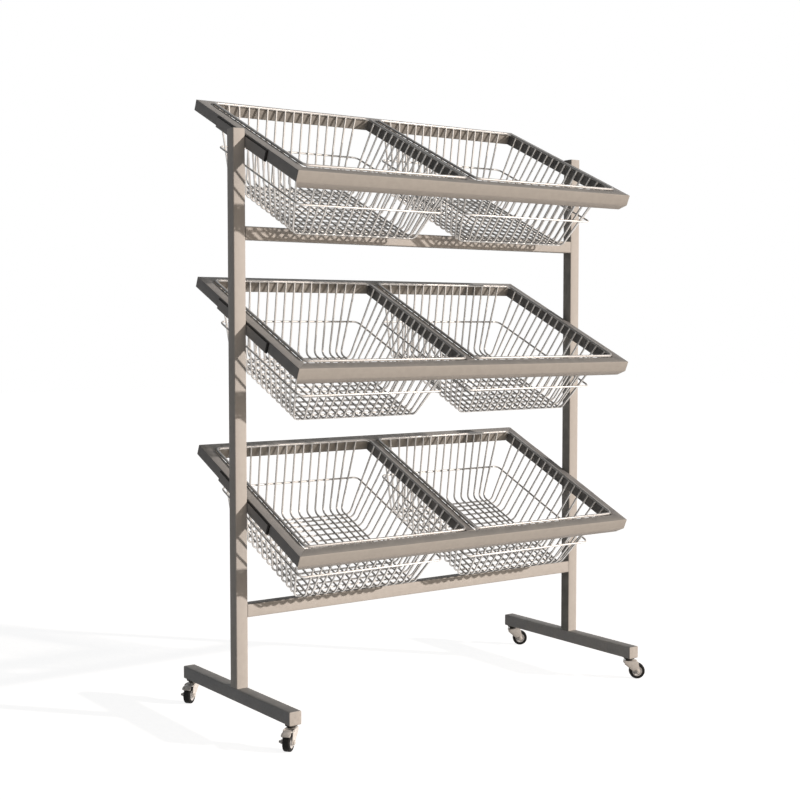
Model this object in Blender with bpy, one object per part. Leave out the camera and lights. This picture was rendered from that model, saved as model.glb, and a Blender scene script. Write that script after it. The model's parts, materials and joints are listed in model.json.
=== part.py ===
"""Mobile produce display stand: two uprights on feet carry three tilted frames, each with two lift-out
wire baskets, and the whole rolls on four swivel casters. Metres, +Z up, front towards -Y, origin on the
floor under the middle of the stand."""

import math

import bmesh
import bpy
from mathutils import Matrix, Vector

# Clearance between pieces that touch
GAP = 0.0003

# Uprights, feet and crossbars
TUBE = 0.030
TUBE_WALL = 0.0015
UPRIGHT_SPACING = 1.010
UPRIGHT_SETBACK = -0.002
UPRIGHT_END = 0.008
FOOT_LENGTH = 0.494
PLUG_FACE = 0.002
PLUG_DEPTH = 0.010
UPPER_CROSSBAR_CLEARANCE = 0.009
LOWER_CROSSBAR_CLEARANCE = 0.043

# Tilted frames: the bottom one's middle above the feet, then from each middle to the next
BOTTOM_TIER_RISE = 0.432
MIDDLE_TIER_SPACING = 0.401
TOP_TIER_SPACING = 0.417
TIER_TILT = math.radians(24.3)
TIER_SETBACK = -0.007
TIER_DEPTH = 0.505
RAIL_WIDTH = 0.028
RAIL_HEIGHT = 0.026
RAIL_WALL = 0.0015
LIP_INSET = 0.012
LIP_DROP = 0.016
LIP_THICKNESS = 0.002
DIVIDER_WIDTH = 0.024
BRACKET_THICKNESS = 0.0034
BRACKET_LENGTH = 0.246
BRACKET_HEIGHT = 0.026
BRACKET_DROP = 0.002

# Wire baskets
RIM_WIRE = 0.007
RIM_MARGIN = 0.0005
RIM_CORNER = 0.010
WALL_WIRE = 0.004
BASKET_DEPTH = 0.177
FLOOR_WIDTH = 0.338
FLOOR_DEPTH = 0.344
FLOOR_BEND = 0.012
LENGTHWISE_PITCH = 0.0245
LENGTHWISE_MARGIN = 0.032
CROSSWISE_PITCH = 0.025
CROSSWISE_MARGIN = 0.0215
OUTER_LEAN = 4
HOOP_DROP = 0.093
HOOP_CORNER = 0.012
WELD = 0.0014

# Casters
WHEEL_DIAMETER = 0.040
WHEEL_WIDTH = 0.017
TYRE_THICKNESS = 0.007
TYRE_SHOULDER = 0.002
HUB_RECESS = 0.001
HUB_BOSS_DIAMETER = 0.012
AXLE_DIAMETER = 0.006
AXLE_HEAD_DIAMETER = 0.010
AXLE_HEAD = 0.0025
AXLE_TAIL = 0.006
CASTER_TRAIL = 0.020
CASTER_INSET = 0.017
FORK_SHEET = 0.002
FORK_SIDE_CLEARANCE = 0.0015
CROWN_CLEARANCE = 0.004
CROWN_REAR = 0.013
CROWN_FRONT = 0.008
LEG_TOP_FRONT = 0.022
LEG_END_DIAMETER = 0.014
LEG_END_FIRST = math.radians(20)
LEG_END_LAST = math.radians(-160)
LEG_REAR_HEIGHT = 0.006
KING_PIN_DIAMETER = 0.010
KING_PIN_HEAD_DIAMETER = 0.014
KING_PIN_HEAD = 0.0017
MOUNT_BOSS_DIAMETER = 0.018
MOUNT_BOSS = 0.0047
MOUNT_DISC_DIAMETER = 0.028
MOUNT_DISC = 0.003
BRAKED_HEADING = math.radians(-140)
FREE_HEADING = math.radians(-36)

# Brake pedals
PEDAL_SHEET = 0.0025
PEDAL_PIVOT = 0.015
PEDAL_PIN_DIAMETER = 0.0036
PEDAL_PIN_END = 0.001
PEDAL_HEEL = 0.0035
PEDAL_BEND = 0.0165
PEDAL_DROOP = math.radians(35)
PEDAL_TOE = 0.0115
PEDAL_TOE_WIDTH = 0.021
PEDAL_CLEARANCE = 0.002

# Facets of round pieces
ROUND_SIDES = 16
PIN_SIDES = 10
CORNER_STEPS = 2
LEG_END_STEPS = 5
SMOOTH_BELOW = math.radians(35)
MERGE_DISTANCE = 1e-6

# Sizes that follow from those above
SQUARE_WIRE = math.sqrt(math.pi) / 2
RIM_SIDE = RIM_WIRE * SQUARE_WIRE
WIRE_SIDE = WALL_WIRE * SQUARE_WIRE
INNER_FACE = UPRIGHT_SPACING / 2 - TUBE / 2
TIER_WIDTH = 2 * (INNER_FACE - BRACKET_THICKNESS - 2 * GAP)
OPENING_WIDTH = (TIER_WIDTH - DIVIDER_WIDTH) / 2 - RAIL_WIDTH
OPENING_DEPTH = TIER_DEPTH - 2 * RAIL_WIDTH
BASKET_OFFSET = (DIVIDER_WIDTH + OPENING_WIDTH) / 2
CROWN_UNDERSIDE = WHEEL_DIAMETER + CROWN_CLEARANCE
CROWN_TOP = CROWN_UNDERSIDE + FORK_SHEET
FOOT_UNDERSIDE = CROWN_TOP + GAP + MOUNT_BOSS + MOUNT_DISC + GAP
FOOT_TOP = FOOT_UNDERSIDE + TUBE
TIER_HEIGHTS = {"bottom": FOOT_TOP + BOTTOM_TIER_RISE}
TIER_HEIGHTS["middle"] = TIER_HEIGHTS["bottom"] + MIDDLE_TIER_SPACING
TIER_HEIGHTS["top"] = TIER_HEIGHTS["middle"] + TOP_TIER_SPACING
UPRIGHT_HEIGHT = TIER_HEIGHTS["top"] + UPRIGHT_END - FOOT_TOP
LEG_INSIDE = WHEEL_WIDTH / 2 + FORK_SIDE_CLEARANCE
LEG_OUTSIDE = LEG_INSIDE + FORK_SHEET
LEG_STEP = FORK_SHEET / 4
PEDAL_PIVOT_HEIGHT = WHEEL_DIAMETER + PEDAL_CLEARANCE + PEDAL_SHEET / 2


def clear_scene():
    for obj in list(bpy.data.objects):
        bpy.data.objects.remove(obj, do_unlink=True)


def finish(name, colour, roughness, metallic):
    """A material of one colour."""
    material = bpy.data.materials.new(name)
    material.use_nodes = True
    shader = material.node_tree.nodes["Principled BSDF"]
    shader.inputs["Base Color"].default_value = (*colour, 1)
    shader.inputs["Roughness"].default_value = roughness
    shader.inputs["Metallic"].default_value = metallic
    return material


def mesh_from(bm, name, smooth=False):
    """The finished mesh of one piece, with its faces pointing out."""
    bmesh.ops.recalc_face_normals(bm, faces=bm.faces)
    mesh = bpy.data.meshes.new(name)
    bm.to_mesh(mesh)
    bm.free()
    if smooth:
        mesh.shade_smooth()
        mesh.set_sharp_from_angle(angle=SMOOTH_BELOW)
    return mesh


def link(name, data, parent=None):
    obj = bpy.data.objects.new(name, data)
    bpy.context.scene.collection.objects.link(obj)
    obj.parent = parent
    return obj


def place(name, mesh, material, location=(0, 0, 0), turn=(0, 0, 0), parent=None):
    """A named piece with its finish, turned and set at its place under a parent."""
    obj = link(name, mesh, parent)
    obj.location = location
    obj.rotation_euler = turn
    if not mesh.materials:
        mesh.materials.append(material)
    return obj


def combined(name, base, steps):
    """The mesh left when other meshes are joined to a base mesh or cut from it, in order."""
    body = link(name, base)
    helpers = []
    for operation, mesh in steps:
        helper = link(name + "_helper", mesh)
        helper.hide_render = True
        helper.display_type = "WIRE"
        helpers.append(helper)
        modifier = body.modifiers.new(operation, "BOOLEAN")
        modifier.operation = operation
        modifier.solver = "EXACT"
        modifier.object = helper
    evaluated = body.evaluated_get(bpy.context.evaluated_depsgraph_get())
    mesh = bpy.data.meshes.new_from_object(evaluated)
    for obj in [body, *helpers]:
        bpy.data.objects.remove(obj, do_unlink=True)
    return mesh


def new_loop(bm, points):
    """The vertices of a closed outline."""
    return [bm.verts.new(point) for point in points]


def loft(bm, loops, closed=False):
    """Faces from each outline to the next, and from the last to the first if closed."""
    following = loops[1:] + loops[:1] if closed else loops[1:]
    for here, there in zip(loops, following):
        for i, vert in enumerate(here):
            after = (i + 1) % len(here)
            bm.faces.new((vert, here[after], there[after], there[i]))


def cap_ring(bm, outer, inner):
    """A flat face between an outline and the hole inside it."""
    edges = []
    for loop in (outer, inner):
        for a, b in zip(loop, loop[1:] + loop[:1]):
            edges.append(bm.edges.get((a, b)) or bm.edges.new((a, b)))
    bmesh.ops.triangle_fill(bm, edges=edges, use_beauty=True)


def rectangle(width, depth):
    """The corners of a rectangle about the origin."""
    x, y = width / 2, depth / 2
    return [(-x, -y), (x, -y), (x, y), (-x, y)]


def round_rectangle(half_x, half_y, radius):
    """The outline of a rectangle about the origin with round corners."""
    points = []
    corners = [(1, 1), (-1, 1), (-1, -1), (1, -1)]
    for quarter, (side_x, side_y) in enumerate(corners):
        for step in range(CORNER_STEPS + 1):
            angle = math.pi / 2 * (quarter + step / CORNER_STEPS)
            x = side_x * (half_x - radius) + radius * math.cos(angle)
            y = side_y * (half_y - radius) + radius * math.sin(angle)
            points.append((x, y))
    return points


def add_box(bm, low, high):
    """A box between two opposite corners."""
    low, high = Vector(low), Vector(high)
    shape = Matrix.Diagonal((*(high - low), 1))
    bmesh.ops.create_cube(bm, size=1, matrix=Matrix.Translation((low + high) / 2) @ shape)


def add_plate(bm, outline, low, high):
    """A plate cut to an outline of (x, z) points, from one depth in Y to another."""
    loops = [new_loop(bm, [(x, y, z) for x, z in outline]) for y in (low, high)]
    loft(bm, loops)
    for loop in loops:
        bm.faces.new(loop)


def add_turned(bm, profile, sides):
    """A shape turned about Z from a closed profile of (radius, height) points."""
    verts = new_loop(bm, [(radius, 0, height) for radius, height in profile])
    edges = [bm.edges.new(pair) for pair in zip(verts, verts[1:] + verts[:1])]
    bmesh.ops.spin(bm, geom=verts + edges, cent=(0, 0, 0), axis=(0, 0, 1), angle=math.tau, steps=sides,
                   use_merge=True)
    bmesh.ops.remove_doubles(bm, verts=bm.verts, dist=MERGE_DISTANCE)
    on_axis = [edge for edge in bm.edges if not edge.link_faces]
    bmesh.ops.delete(bm, geom=on_axis, context="EDGES")


def turned_mesh(name, profile, sides, lying=False):
    """A turned piece standing along Z, or lying along Y with a flat facet underneath."""
    bm = bmesh.new()
    add_turned(bm, profile, sides)
    if lying:
        spin = Matrix.Rotation(math.pi / 2, 3, "X") @ Matrix.Rotation(math.pi / sides, 3, "Z")
        bmesh.ops.rotate(bm, cent=(0, 0, 0), matrix=spin, verts=bm.verts)
    return mesh_from(bm, name, smooth=True)


def rod_mesh(name, diameter, low, high, lying=False, centre=(0, 0, 0)):
    """A plain round rod from one height to another, along Z or along Y."""
    bm = bmesh.new()
    radius = diameter / 2
    add_turned(bm, [(0, low), (radius, low), (radius, high), (0, high)], PIN_SIDES)
    if lying:
        bmesh.ops.rotate(bm, cent=(0, 0, 0), matrix=Matrix.Rotation(math.pi / 2, 3, "X"), verts=bm.verts)
    bmesh.ops.translate(bm, vec=centre, verts=bm.verts)
    return mesh_from(bm, name)


def tube_mesh(name, length, closed_end=False):
    """A square tube standing on the origin, with a plate across its top if that end is closed."""
    bm = bmesh.new()
    outer, bore = rectangle(TUBE, TUBE), rectangle(TUBE - 2 * TUBE_WALL, TUBE - 2 * TUBE_WALL)
    bore_end = length - TUBE_WALL if closed_end else length
    stations = [(bore, bore_end), (bore, 0), (outer, 0), (outer, length)]
    loops = [new_loop(bm, [(x, y, height) for x, y in corners]) for corners, height in stations]
    loft(bm, loops, closed=not closed_end)
    if closed_end:
        bm.faces.new(loops[0])
        bm.faces.new(loops[-1])
    return mesh_from(bm, name)


def plug_mesh():
    """A foot's end plug, along +Z: a plate as wide as the tube, then a stub that enters it."""
    bm = bmesh.new()
    stub = TUBE - 2 * TUBE_WALL - 2 * GAP
    stations = [(TUBE, 0), (TUBE, PLUG_FACE), (stub, PLUG_FACE), (stub, PLUG_FACE + PLUG_DEPTH)]
    loops = [new_loop(bm, [(x, y, height) for x, y in rectangle(side, side)]) for side, height in stations]
    loft(bm, loops)
    bm.faces.new(loops[0])
    bm.faces.new(loops[-1])
    return mesh_from(bm, "foot_plug")


def basket_drop():
    """How far the baskets hang below the middle of their frame over the front edge of a crossbar."""
    ahead = TIER_SETBACK - (UPRIGHT_SETBACK - TUBE / 2)
    return BASKET_DEPTH / math.cos(TIER_TILT) + ahead * math.tan(TIER_TILT)


def build_stand(steel):
    """Uprights on feet, joined by two crossbars."""
    upright = tube_mesh("upright", UPRIGHT_HEIGHT - GAP, closed_end=True)
    foot = tube_mesh("foot", FOOT_LENGTH - 2 * (PLUG_FACE + GAP))
    plug = plug_mesh()
    crossbar = tube_mesh("crossbar", 2 * (INNER_FACE - GAP))
    foot_middle = FOOT_UNDERSIDE + TUBE / 2
    along_y = (-math.pi / 2, 0, 0)
    against_y = (math.pi / 2, 0, 0)
    for side, x in (("left", -UPRIGHT_SPACING / 2), ("right", UPRIGHT_SPACING / 2)):
        place(side + "_upright", upright, steel, (x, UPRIGHT_SETBACK, FOOT_TOP + GAP))
        front = -FOOT_LENGTH / 2
        place(side + "_foot", foot, steel, (x, front + PLUG_FACE + GAP, foot_middle), along_y)
        place(side + "_foot_front_plug", plug, steel, (x, front, foot_middle), along_y)
        place(side + "_foot_rear_plug", plug, steel, (x, -front, foot_middle), against_y)
    for name, tier, clearance in (("upper_crossbar", "top", UPPER_CROSSBAR_CLEARANCE),
                                  ("lower_crossbar", "bottom", LOWER_CROSSBAR_CLEARANCE)):
        middle = TIER_HEIGHTS[tier] - basket_drop() - clearance - TUBE / 2
        place(name, crossbar, steel, (GAP - INNER_FACE, UPRIGHT_SETBACK, middle), (0, math.pi / 2, 0))


def rail_section(with_lip):
    """A rail's outline and its hollow as (inward, up) points from the outer top edge."""
    low = -RAIL_HEIGHT
    outline = [(0, 0), (RAIL_WIDTH, 0), (RAIL_WIDTH, low)]
    if with_lip:
        fall = Vector((LIP_INSET, -LIP_DROP)).normalized()
        edge = Vector((LIP_INSET, low - LIP_DROP))
        inner_edge = edge + Vector((-fall.y, fall.x)) * LIP_THICKNESS
        root = inner_edge + fall * (low - inner_edge.y) / fall.y
        outline += [tuple(root), tuple(inner_edge), tuple(edge)]
    outline.append((0, low))
    far, top, bottom = RAIL_WIDTH - RAIL_WALL, -RAIL_WALL, low + RAIL_WALL
    return outline, [(RAIL_WALL, top), (far, top), (far, bottom), (RAIL_WALL, bottom)]


def rail_mesh(name, length, with_lip=False):
    """A hollow rail along X, its outer face at Y = 0, with both ends mitred."""
    bm = bmesh.new()
    mitre_gap = GAP / math.sqrt(2)
    ends = []
    for section in rail_section(with_lip):
        loops = []
        for end in (-1, 1):
            points = [(end * (length / 2 - inward - mitre_gap), inward, up) for inward, up in section]
            loops.append(new_loop(bm, points))
        loft(bm, loops)
        ends.append(loops)
    for outer, inner in zip(*ends):
        cap_ring(bm, outer, inner)
    return mesh_from(bm, name)


def divider_mesh():
    """A hollow bar along Y between the front and rear rails, its top on Z = 0."""
    bm = bmesh.new()
    half = OPENING_DEPTH / 2 - GAP
    wall = 2 * RAIL_WALL
    loops = []
    for y, inset in ((-half, 0), (half, 0), (half, wall), (-half, wall)):
        corners = rectangle(DIVIDER_WIDTH - inset, RAIL_HEIGHT - inset)
        loops.append(new_loop(bm, [(x, y, z - RAIL_HEIGHT / 2) for x, z in corners]))
    loft(bm, loops, closed=True)
    return mesh_from(bm, "divider")


def bracket_mesh():
    """A flat bar along Y, its top edge on Z = 0."""
    bm = bmesh.new()
    half = BRACKET_THICKNESS / 2
    add_box(bm, (-half, -BRACKET_LENGTH / 2, -BRACKET_HEIGHT), (half, BRACKET_LENGTH / 2, 0))
    return mesh_from(bm, "bracket")


def add_hoop(bm, half_x, half_y, corner, side, low):
    """A square wire bent into a rectangle with round corners, lying flat."""
    loops = []
    for offset, height in ((1, low), (1, low + side), (-1, low + side), (-1, low)):
        grow = offset * side / 2
        outline = round_rectangle(half_x + grow, half_y + grow, corner + grow)
        loops.append(new_loop(bm, [(x, y, height) for x, y in outline]))
    loft(bm, loops, closed=True)


class BasketWall:
    """The slanting line of the wires in one pair of opposite basket walls, seen from the end."""

    def __init__(self, crosswise, opening, floor, floor_height, pitch, rim_limit, floor_limit):
        self.crosswise = crosswise
        self.mouth = opening / 2 - 2 * GAP - WIRE_SIDE / 2
        self.corner = floor / 2
        self.floor_height = floor_height
        self.slope = (self.mouth - self.corner) / -floor_height
        self.face = WIRE_SIDE / 2 * math.sqrt(1 + self.slope**2)
        steps = math.floor(rim_limit / pitch)
        self.wires = []
        for step in range(-steps, steps + 1):
            place = step * pitch
            lean = math.copysign(abs(step / steps) ** OUTER_LEAN, step)
            top = place + lean * (rim_limit - steps * pitch)
            bottom = place + lean * (floor_limit - steps * pitch)
            self.wires.append((top, bottom))

    def reach(self, height):
        """How far the wall stands from the middle at a height."""
        return self.mouth + self.slope * height

    def spread(self, wire, height):
        """A wire's place along its wall at a height: the outer wires lean in towards the floor."""
        top, bottom = wire
        return top + (bottom - top) * height / self.floor_height

    def point(self, along, away, height):
        """A point given by its place along the wall, its distance from the middle and its height."""
        return (away, along, height) if self.crosswise else (along, away, height)

    def bends(self, wire):
        """(along, away, height, outward) of a wire's bends, from one wall across the floor to the other."""
        up = Vector((self.slope, 1)).normalized()
        wall_out, floor_out = Vector((up.y, -up.x)), Vector((0, -1))
        corner_out = (wall_out + floor_out).normalized()
        height = self.floor_height + FLOOR_BEND * up.y
        half = [(self.spread(wire, height), self.corner + FLOOR_BEND * up.x, height, wall_out),
                (wire[1], self.corner - FLOOR_BEND, self.floor_height, floor_out)]
        bends = []
        for along, away, rise, straight_out in half:
            out = (straight_out + corner_out).normalized()
            bends.append((along, away, rise, out / out.dot(straight_out)))
        mirrored = [(along, -away, rise, Vector((-out.x, out.y))) for along, away, rise, out in bends[::-1]]
        return bends + mirrored

    def section(self, bm, along, away, height, out):
        """The four corners of a wire at a bend, outer pair first."""
        half = WIRE_SIDE / 2
        corners = []
        for side, depth in ((-1, 1), (1, 1), (1, -1), (-1, -1)):
            shift = out * depth * half
            corners.append(self.point(along + side * half, away + shift.x, height + shift.y))
        return new_loop(bm, corners)


def basket_walls():
    """The side walls, whose wires run crosswise, and the front and rear walls, whose wires lie above."""
    lower_layer = 0.5 * WIRE_SIDE - BASKET_DEPTH
    upper_layer = 1.5 * WIRE_SIDE + GAP - BASKET_DEPTH
    bend_margin = FLOOR_BEND + WALL_WIRE
    sides = BasketWall(True, OPENING_WIDTH, FLOOR_WIDTH, lower_layer, CROSSWISE_PITCH,
                       OPENING_DEPTH / 2 - RIM_CORNER - CROSSWISE_MARGIN, FLOOR_DEPTH / 2 - bend_margin)
    ends = BasketWall(False, OPENING_DEPTH, FLOOR_DEPTH, upper_layer, LENGTHWISE_PITCH,
                      OPENING_WIDTH / 2 - RIM_CORNER - LENGTHWISE_MARGIN, FLOOR_WIDTH / 2 - bend_margin)
    return sides, ends


def fan(bm, first, last, line):
    """Triangles between an edge and a line of points that faces it."""
    for a, b in zip(line, line[1:]):
        bm.faces.new((first, a, b))
    bm.faces.new((first, line[-1], last))


def add_rim(bm, walls):
    """A flat-sided rim. Returns, for each wall and side, the open seats that its wires hang from."""
    inner = [wall.mouth - wall.face - RIM_MARGIN for wall in walls]
    middle = [wall.mouth + wall.face for wall in walls]
    outer = [reach + RIM_SIDE for reach in inner]
    low, high = GAP, GAP + RIM_SIDE
    lines = []
    for reaches, height in ((outer, low), (middle, low), (inner, low), (inner, high), (outer, high)):
        outline = round_rectangle(*reaches, RIM_CORNER + reaches[0] - inner[0])
        lines.append(new_loop(bm, [(x, y, height) for x, y in outline]))
    count = CORNER_STEPS + 1
    for first in range(0, 4 * count, count):
        loft(bm, [[line[i] for line in lines] for i in range(first, first + count)])
    seats = {}
    sides, ends = walls
    order = ((ends, 1, -1), (sides, -1, -1), (ends, -1, 1), (sides, 1, 1))
    for quarter, (wall, sign, travel) in enumerate(order):
        a, b = (quarter + 1) * count - 1, (quarter + 1) * count % (4 * count)
        which = walls.index(wall)
        out_line, in_line = [lines[1][a]], [lines[2][a]]
        for wire in wall.wires[::travel]:
            for edge in (-travel, travel):
                along = wall.spread(wire, low) + edge * WIRE_SIDE / 2
                out_line.append(bm.verts.new(wall.point(along, sign * middle[which], low)))
                in_line.append(bm.verts.new(wall.point(along, sign * inner[which], low)))
        out_line.append(lines[1][b])
        in_line.append(lines[2][b])
        fan(bm, lines[0][a], lines[0][b], out_line)
        fan(bm, lines[3][a], lines[3][b], in_line)
        bm.faces.new((lines[3][a], lines[3][b], lines[4][b], lines[4][a]))
        bm.faces.new((lines[4][a], lines[4][b], lines[0][b], lines[0][a]))
        cells = [(out_line[i], out_line[i + 1], in_line[i + 1], in_line[i])
                 for i in range(len(out_line) - 1)]
        for between in cells[::2]:
            bm.faces.new(between)
        hung = cells[1::2]
        if travel < 0:
            hung = [(cell[1], cell[0], cell[3], cell[2]) for cell in hung[::-1]]
        seats[which, sign] = hung
    return seats


def add_weld(bm, wall, hoop_reach):
    """Small blocks that tie the hoop to the middle wire of each of two opposite walls."""
    along = wall.spread(wall.wires[len(wall.wires) // 2], -HOOP_DROP)
    half = WELD / 2
    for sign in (-1, 1):
        near, far = sorted((sign * wall.reach(-HOOP_DROP), sign * hoop_reach))
        low = wall.point(along - half, near, -HOOP_DROP - half)
        high = wall.point(along + half, far, -HOOP_DROP + half)
        add_box(bm, low, high)


def basket_mesh():
    """A tapered wire basket about the middle of its opening: rim, wires both ways, and a hoop."""
    walls = basket_walls()
    body, hoop, welds = (bmesh.new() for _ in range(3))
    seats = add_rim(body, walls)
    for which, wall in enumerate(walls):
        for wire, first, last in zip(wall.wires, seats[which, 1], seats[which, -1]):
            sections = [wall.section(body, *bend) for bend in wall.bends(wire)]
            loft(body, [first, *sections, last])
    hoop_top = WIRE_SIDE / 2 - HOOP_DROP
    hoop_reaches = [wall.reach(hoop_top) + wall.face + GAP + WIRE_SIDE / 2 for wall in walls]
    add_hoop(hoop, *hoop_reaches, HOOP_CORNER, WIRE_SIDE, hoop_top - WIRE_SIDE)
    for wall, reach in zip(walls, hoop_reaches):
        add_weld(welds, wall, reach)
    steps = [("UNION", mesh_from(bm, "basket_hoop")) for bm in (hoop, welds)]
    return combined("basket", mesh_from(body, "basket_body"), steps)


def build_tiers(steel, bracket_steel, wire_steel):
    """Three tilted frames of mitred rails with a divider, their brackets and their baskets."""
    front = rail_mesh("front_rail", TIER_WIDTH, with_lip=True)
    rear = rail_mesh("rear_rail", TIER_WIDTH)
    side = rail_mesh("side_rail", TIER_DEPTH)
    divider, bracket, basket = divider_mesh(), bracket_mesh(), basket_mesh()
    quarter = math.pi / 2
    x, y = TIER_WIDTH / 2, TIER_DEPTH / 2
    bracket_x = x + GAP + BRACKET_THICKNESS / 2
    bracket_y = (UPRIGHT_SETBACK - TIER_SETBACK) / math.cos(TIER_TILT)
    for tier, height in TIER_HEIGHTS.items():
        frame = link(tier + "_tier", None)
        frame.location = (0, TIER_SETBACK, height)
        frame.rotation_euler = (TIER_TILT, 0, 0)
        place(tier + "_front_rail", front, steel, (0, -y, 0), (0, 0, 0), frame)
        place(tier + "_rear_rail", rear, steel, (0, y, 0), (0, 0, 2 * quarter), frame)
        place(tier + "_left_rail", side, steel, (-x, 0, 0), (0, 0, -quarter), frame)
        place(tier + "_right_rail", side, steel, (x, 0, 0), (0, 0, quarter), frame)
        place(tier + "_divider", divider, steel, parent=frame)
        for hand, sign in (("left", -1), ("right", 1)):
            seat = (sign * bracket_x, bracket_y, -BRACKET_DROP)
            place(f"{tier}_{hand}_bracket", bracket, bracket_steel, seat, parent=frame)
            place(f"{tier}_{hand}_basket", basket, wire_steel, (sign * BASKET_OFFSET, 0, 0), parent=frame)


def mount_mesh():
    """A caster's fixed disc, with the boss and headed king pin under it, about the swivel axis."""
    head_top = CROWN_UNDERSIDE - GAP
    boss_low = CROWN_TOP + GAP
    disc_low = boss_low + MOUNT_BOSS
    disc_top = disc_low + MOUNT_DISC
    head, pin = KING_PIN_HEAD_DIAMETER / 2, KING_PIN_DIAMETER / 2
    boss, disc = MOUNT_BOSS_DIAMETER / 2, MOUNT_DISC_DIAMETER / 2
    profile = [(0, head_top - KING_PIN_HEAD), (head, head_top - KING_PIN_HEAD), (head, head_top),
               (pin, head_top), (pin, boss_low), (boss, boss_low), (boss, disc_low), (disc, disc_low),
               (disc, disc_top), (0, disc_top)]
    return turned_mesh("caster_mount", profile, PIN_SIDES)


def leg_outline():
    """A fork leg's (x, z) outline: wide under the crown and round about the axle."""
    top = CROWN_TOP - LEG_STEP
    radius = LEG_END_DIAMETER / 2
    points = [(-CROWN_REAR, top), (LEG_TOP_FRONT, top)]
    for step in range(LEG_END_STEPS + 1):
        angle = LEG_END_FIRST + (LEG_END_LAST - LEG_END_FIRST) * step / LEG_END_STEPS
        x = CASTER_TRAIL + radius * math.cos(angle)
        points.append((x, WHEEL_DIAMETER / 2 + radius * math.sin(angle)))
    points.append((-CROWN_REAR, top - LEG_REAR_HEIGHT))
    return points


def fork_mesh(braked):
    """A swivelling fork: a crown with a king pin hole and two legs with holes for the axle."""
    crown, legs = bmesh.new(), bmesh.new()
    lap = LEG_INSIDE + FORK_SHEET / 2
    add_box(crown, (LEG_STEP - CROWN_REAR, -lap, CROWN_UNDERSIDE), (CROWN_FRONT, lap, CROWN_TOP))
    for low, high in ((-LEG_OUTSIDE, -LEG_INSIDE), (LEG_INSIDE, LEG_OUTSIDE)):
        add_plate(legs, leg_outline(), low, high)
    through = LEG_OUTSIDE + FORK_SHEET
    axle = (CASTER_TRAIL, 0, WHEEL_DIAMETER / 2)
    steps = [("UNION", mesh_from(legs, "fork_legs")),
             ("DIFFERENCE", rod_mesh("king_pin_hole", KING_PIN_DIAMETER + 2 * GAP,
                                     CROWN_UNDERSIDE - FORK_SHEET, CROWN_TOP + FORK_SHEET)),
             ("DIFFERENCE", rod_mesh("axle_hole", AXLE_DIAMETER + 2 * GAP, -through, through, True, axle))]
    if braked:
        pivot = (PEDAL_PIVOT, 0, PEDAL_PIVOT_HEIGHT)
        diameter = PEDAL_PIN_DIAMETER + 2 * GAP
        steps.append(("DIFFERENCE", rod_mesh("pedal_hole", diameter, -through, through, True, pivot)))
    return combined("caster_fork", mesh_from(crown, "fork_crown"), steps)


def axle_mesh():
    """An axle bolt along Y through the fork legs, its tail standing out past the nut."""
    radius, head = AXLE_DIAMETER / 2, AXLE_HEAD_DIAMETER / 2
    seat = LEG_OUTSIDE + GAP
    end = seat + AXLE_HEAD
    tail = end + AXLE_TAIL
    profile = [(0, -end), (head, -end), (head, -seat), (radius, -seat), (radius, seat), (head, seat),
               (head, end), (radius, end), (radius, tail), (0, tail)]
    return turned_mesh("caster_axle", profile, PIN_SIDES, lying=True)


def facet_reach(radius):
    """The corner radius of a faceted round whose flats lie at a radius."""
    return radius / math.cos(math.pi / ROUND_SIDES)


def hub_mesh():
    """A wheel hub along Y with a boss that runs between the fork legs."""
    bore = AXLE_DIAMETER / 2 + GAP
    boss = HUB_BOSS_DIAMETER / 2
    rim = facet_reach(WHEEL_DIAMETER / 2 - TYRE_THICKNESS) - GAP
    boss_end = LEG_INSIDE - GAP
    rim_end = WHEEL_WIDTH / 2 - HUB_RECESS
    profile = [(bore, -boss_end), (boss, -boss_end), (boss, -rim_end), (rim, -rim_end), (rim, rim_end),
               (boss, rim_end), (boss, boss_end), (bore, boss_end)]
    return turned_mesh("caster_hub", profile, ROUND_SIDES, lying=True)


def tyre_mesh():
    """A tyre along Y with rounded shoulders, flat where it meets the floor."""
    inner = facet_reach(WHEEL_DIAMETER / 2 - TYRE_THICKNESS)
    shoulder = facet_reach(WHEEL_DIAMETER / 2 - TYRE_SHOULDER)
    tread = facet_reach(WHEEL_DIAMETER / 2)
    side = WHEEL_WIDTH / 2
    flat = side - TYRE_SHOULDER
    profile = [(inner, -side), (shoulder, -side), (tread, -flat), (tread, flat), (shoulder, side),
               (inner, side)]
    return turned_mesh("caster_tyre", profile, ROUND_SIDES, lying=True)


def pedal_mesh():
    """A brake pedal about its pin: a plate over the wheel and a wider toe bent down in front of it."""
    plate, toe = bmesh.new(), bmesh.new()
    half = LEG_INSIDE - 2 * GAP
    sheet = PEDAL_SHEET / 2
    add_box(plate, (-PEDAL_HEEL, -half, -sheet), (PEDAL_BEND, half, sheet))
    add_box(toe, (0, -PEDAL_TOE_WIDTH / 2, -sheet), (PEDAL_TOE, PEDAL_TOE_WIDTH / 2, sheet))
    droop = Matrix.Translation((PEDAL_BEND, 0, 0)) @ Matrix.Rotation(PEDAL_DROOP, 4, "Y")
    bmesh.ops.transform(toe, matrix=droop, verts=toe.verts)
    end = LEG_OUTSIDE + PEDAL_PIN_END
    pin = rod_mesh("pedal_pin", PEDAL_PIN_DIAMETER, -end, end, lying=True)
    steps = [("UNION", mesh_from(toe, "pedal_toe")), ("UNION", pin)]
    return combined("brake_pedal", mesh_from(plate, "pedal_plate"), steps)


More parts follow.
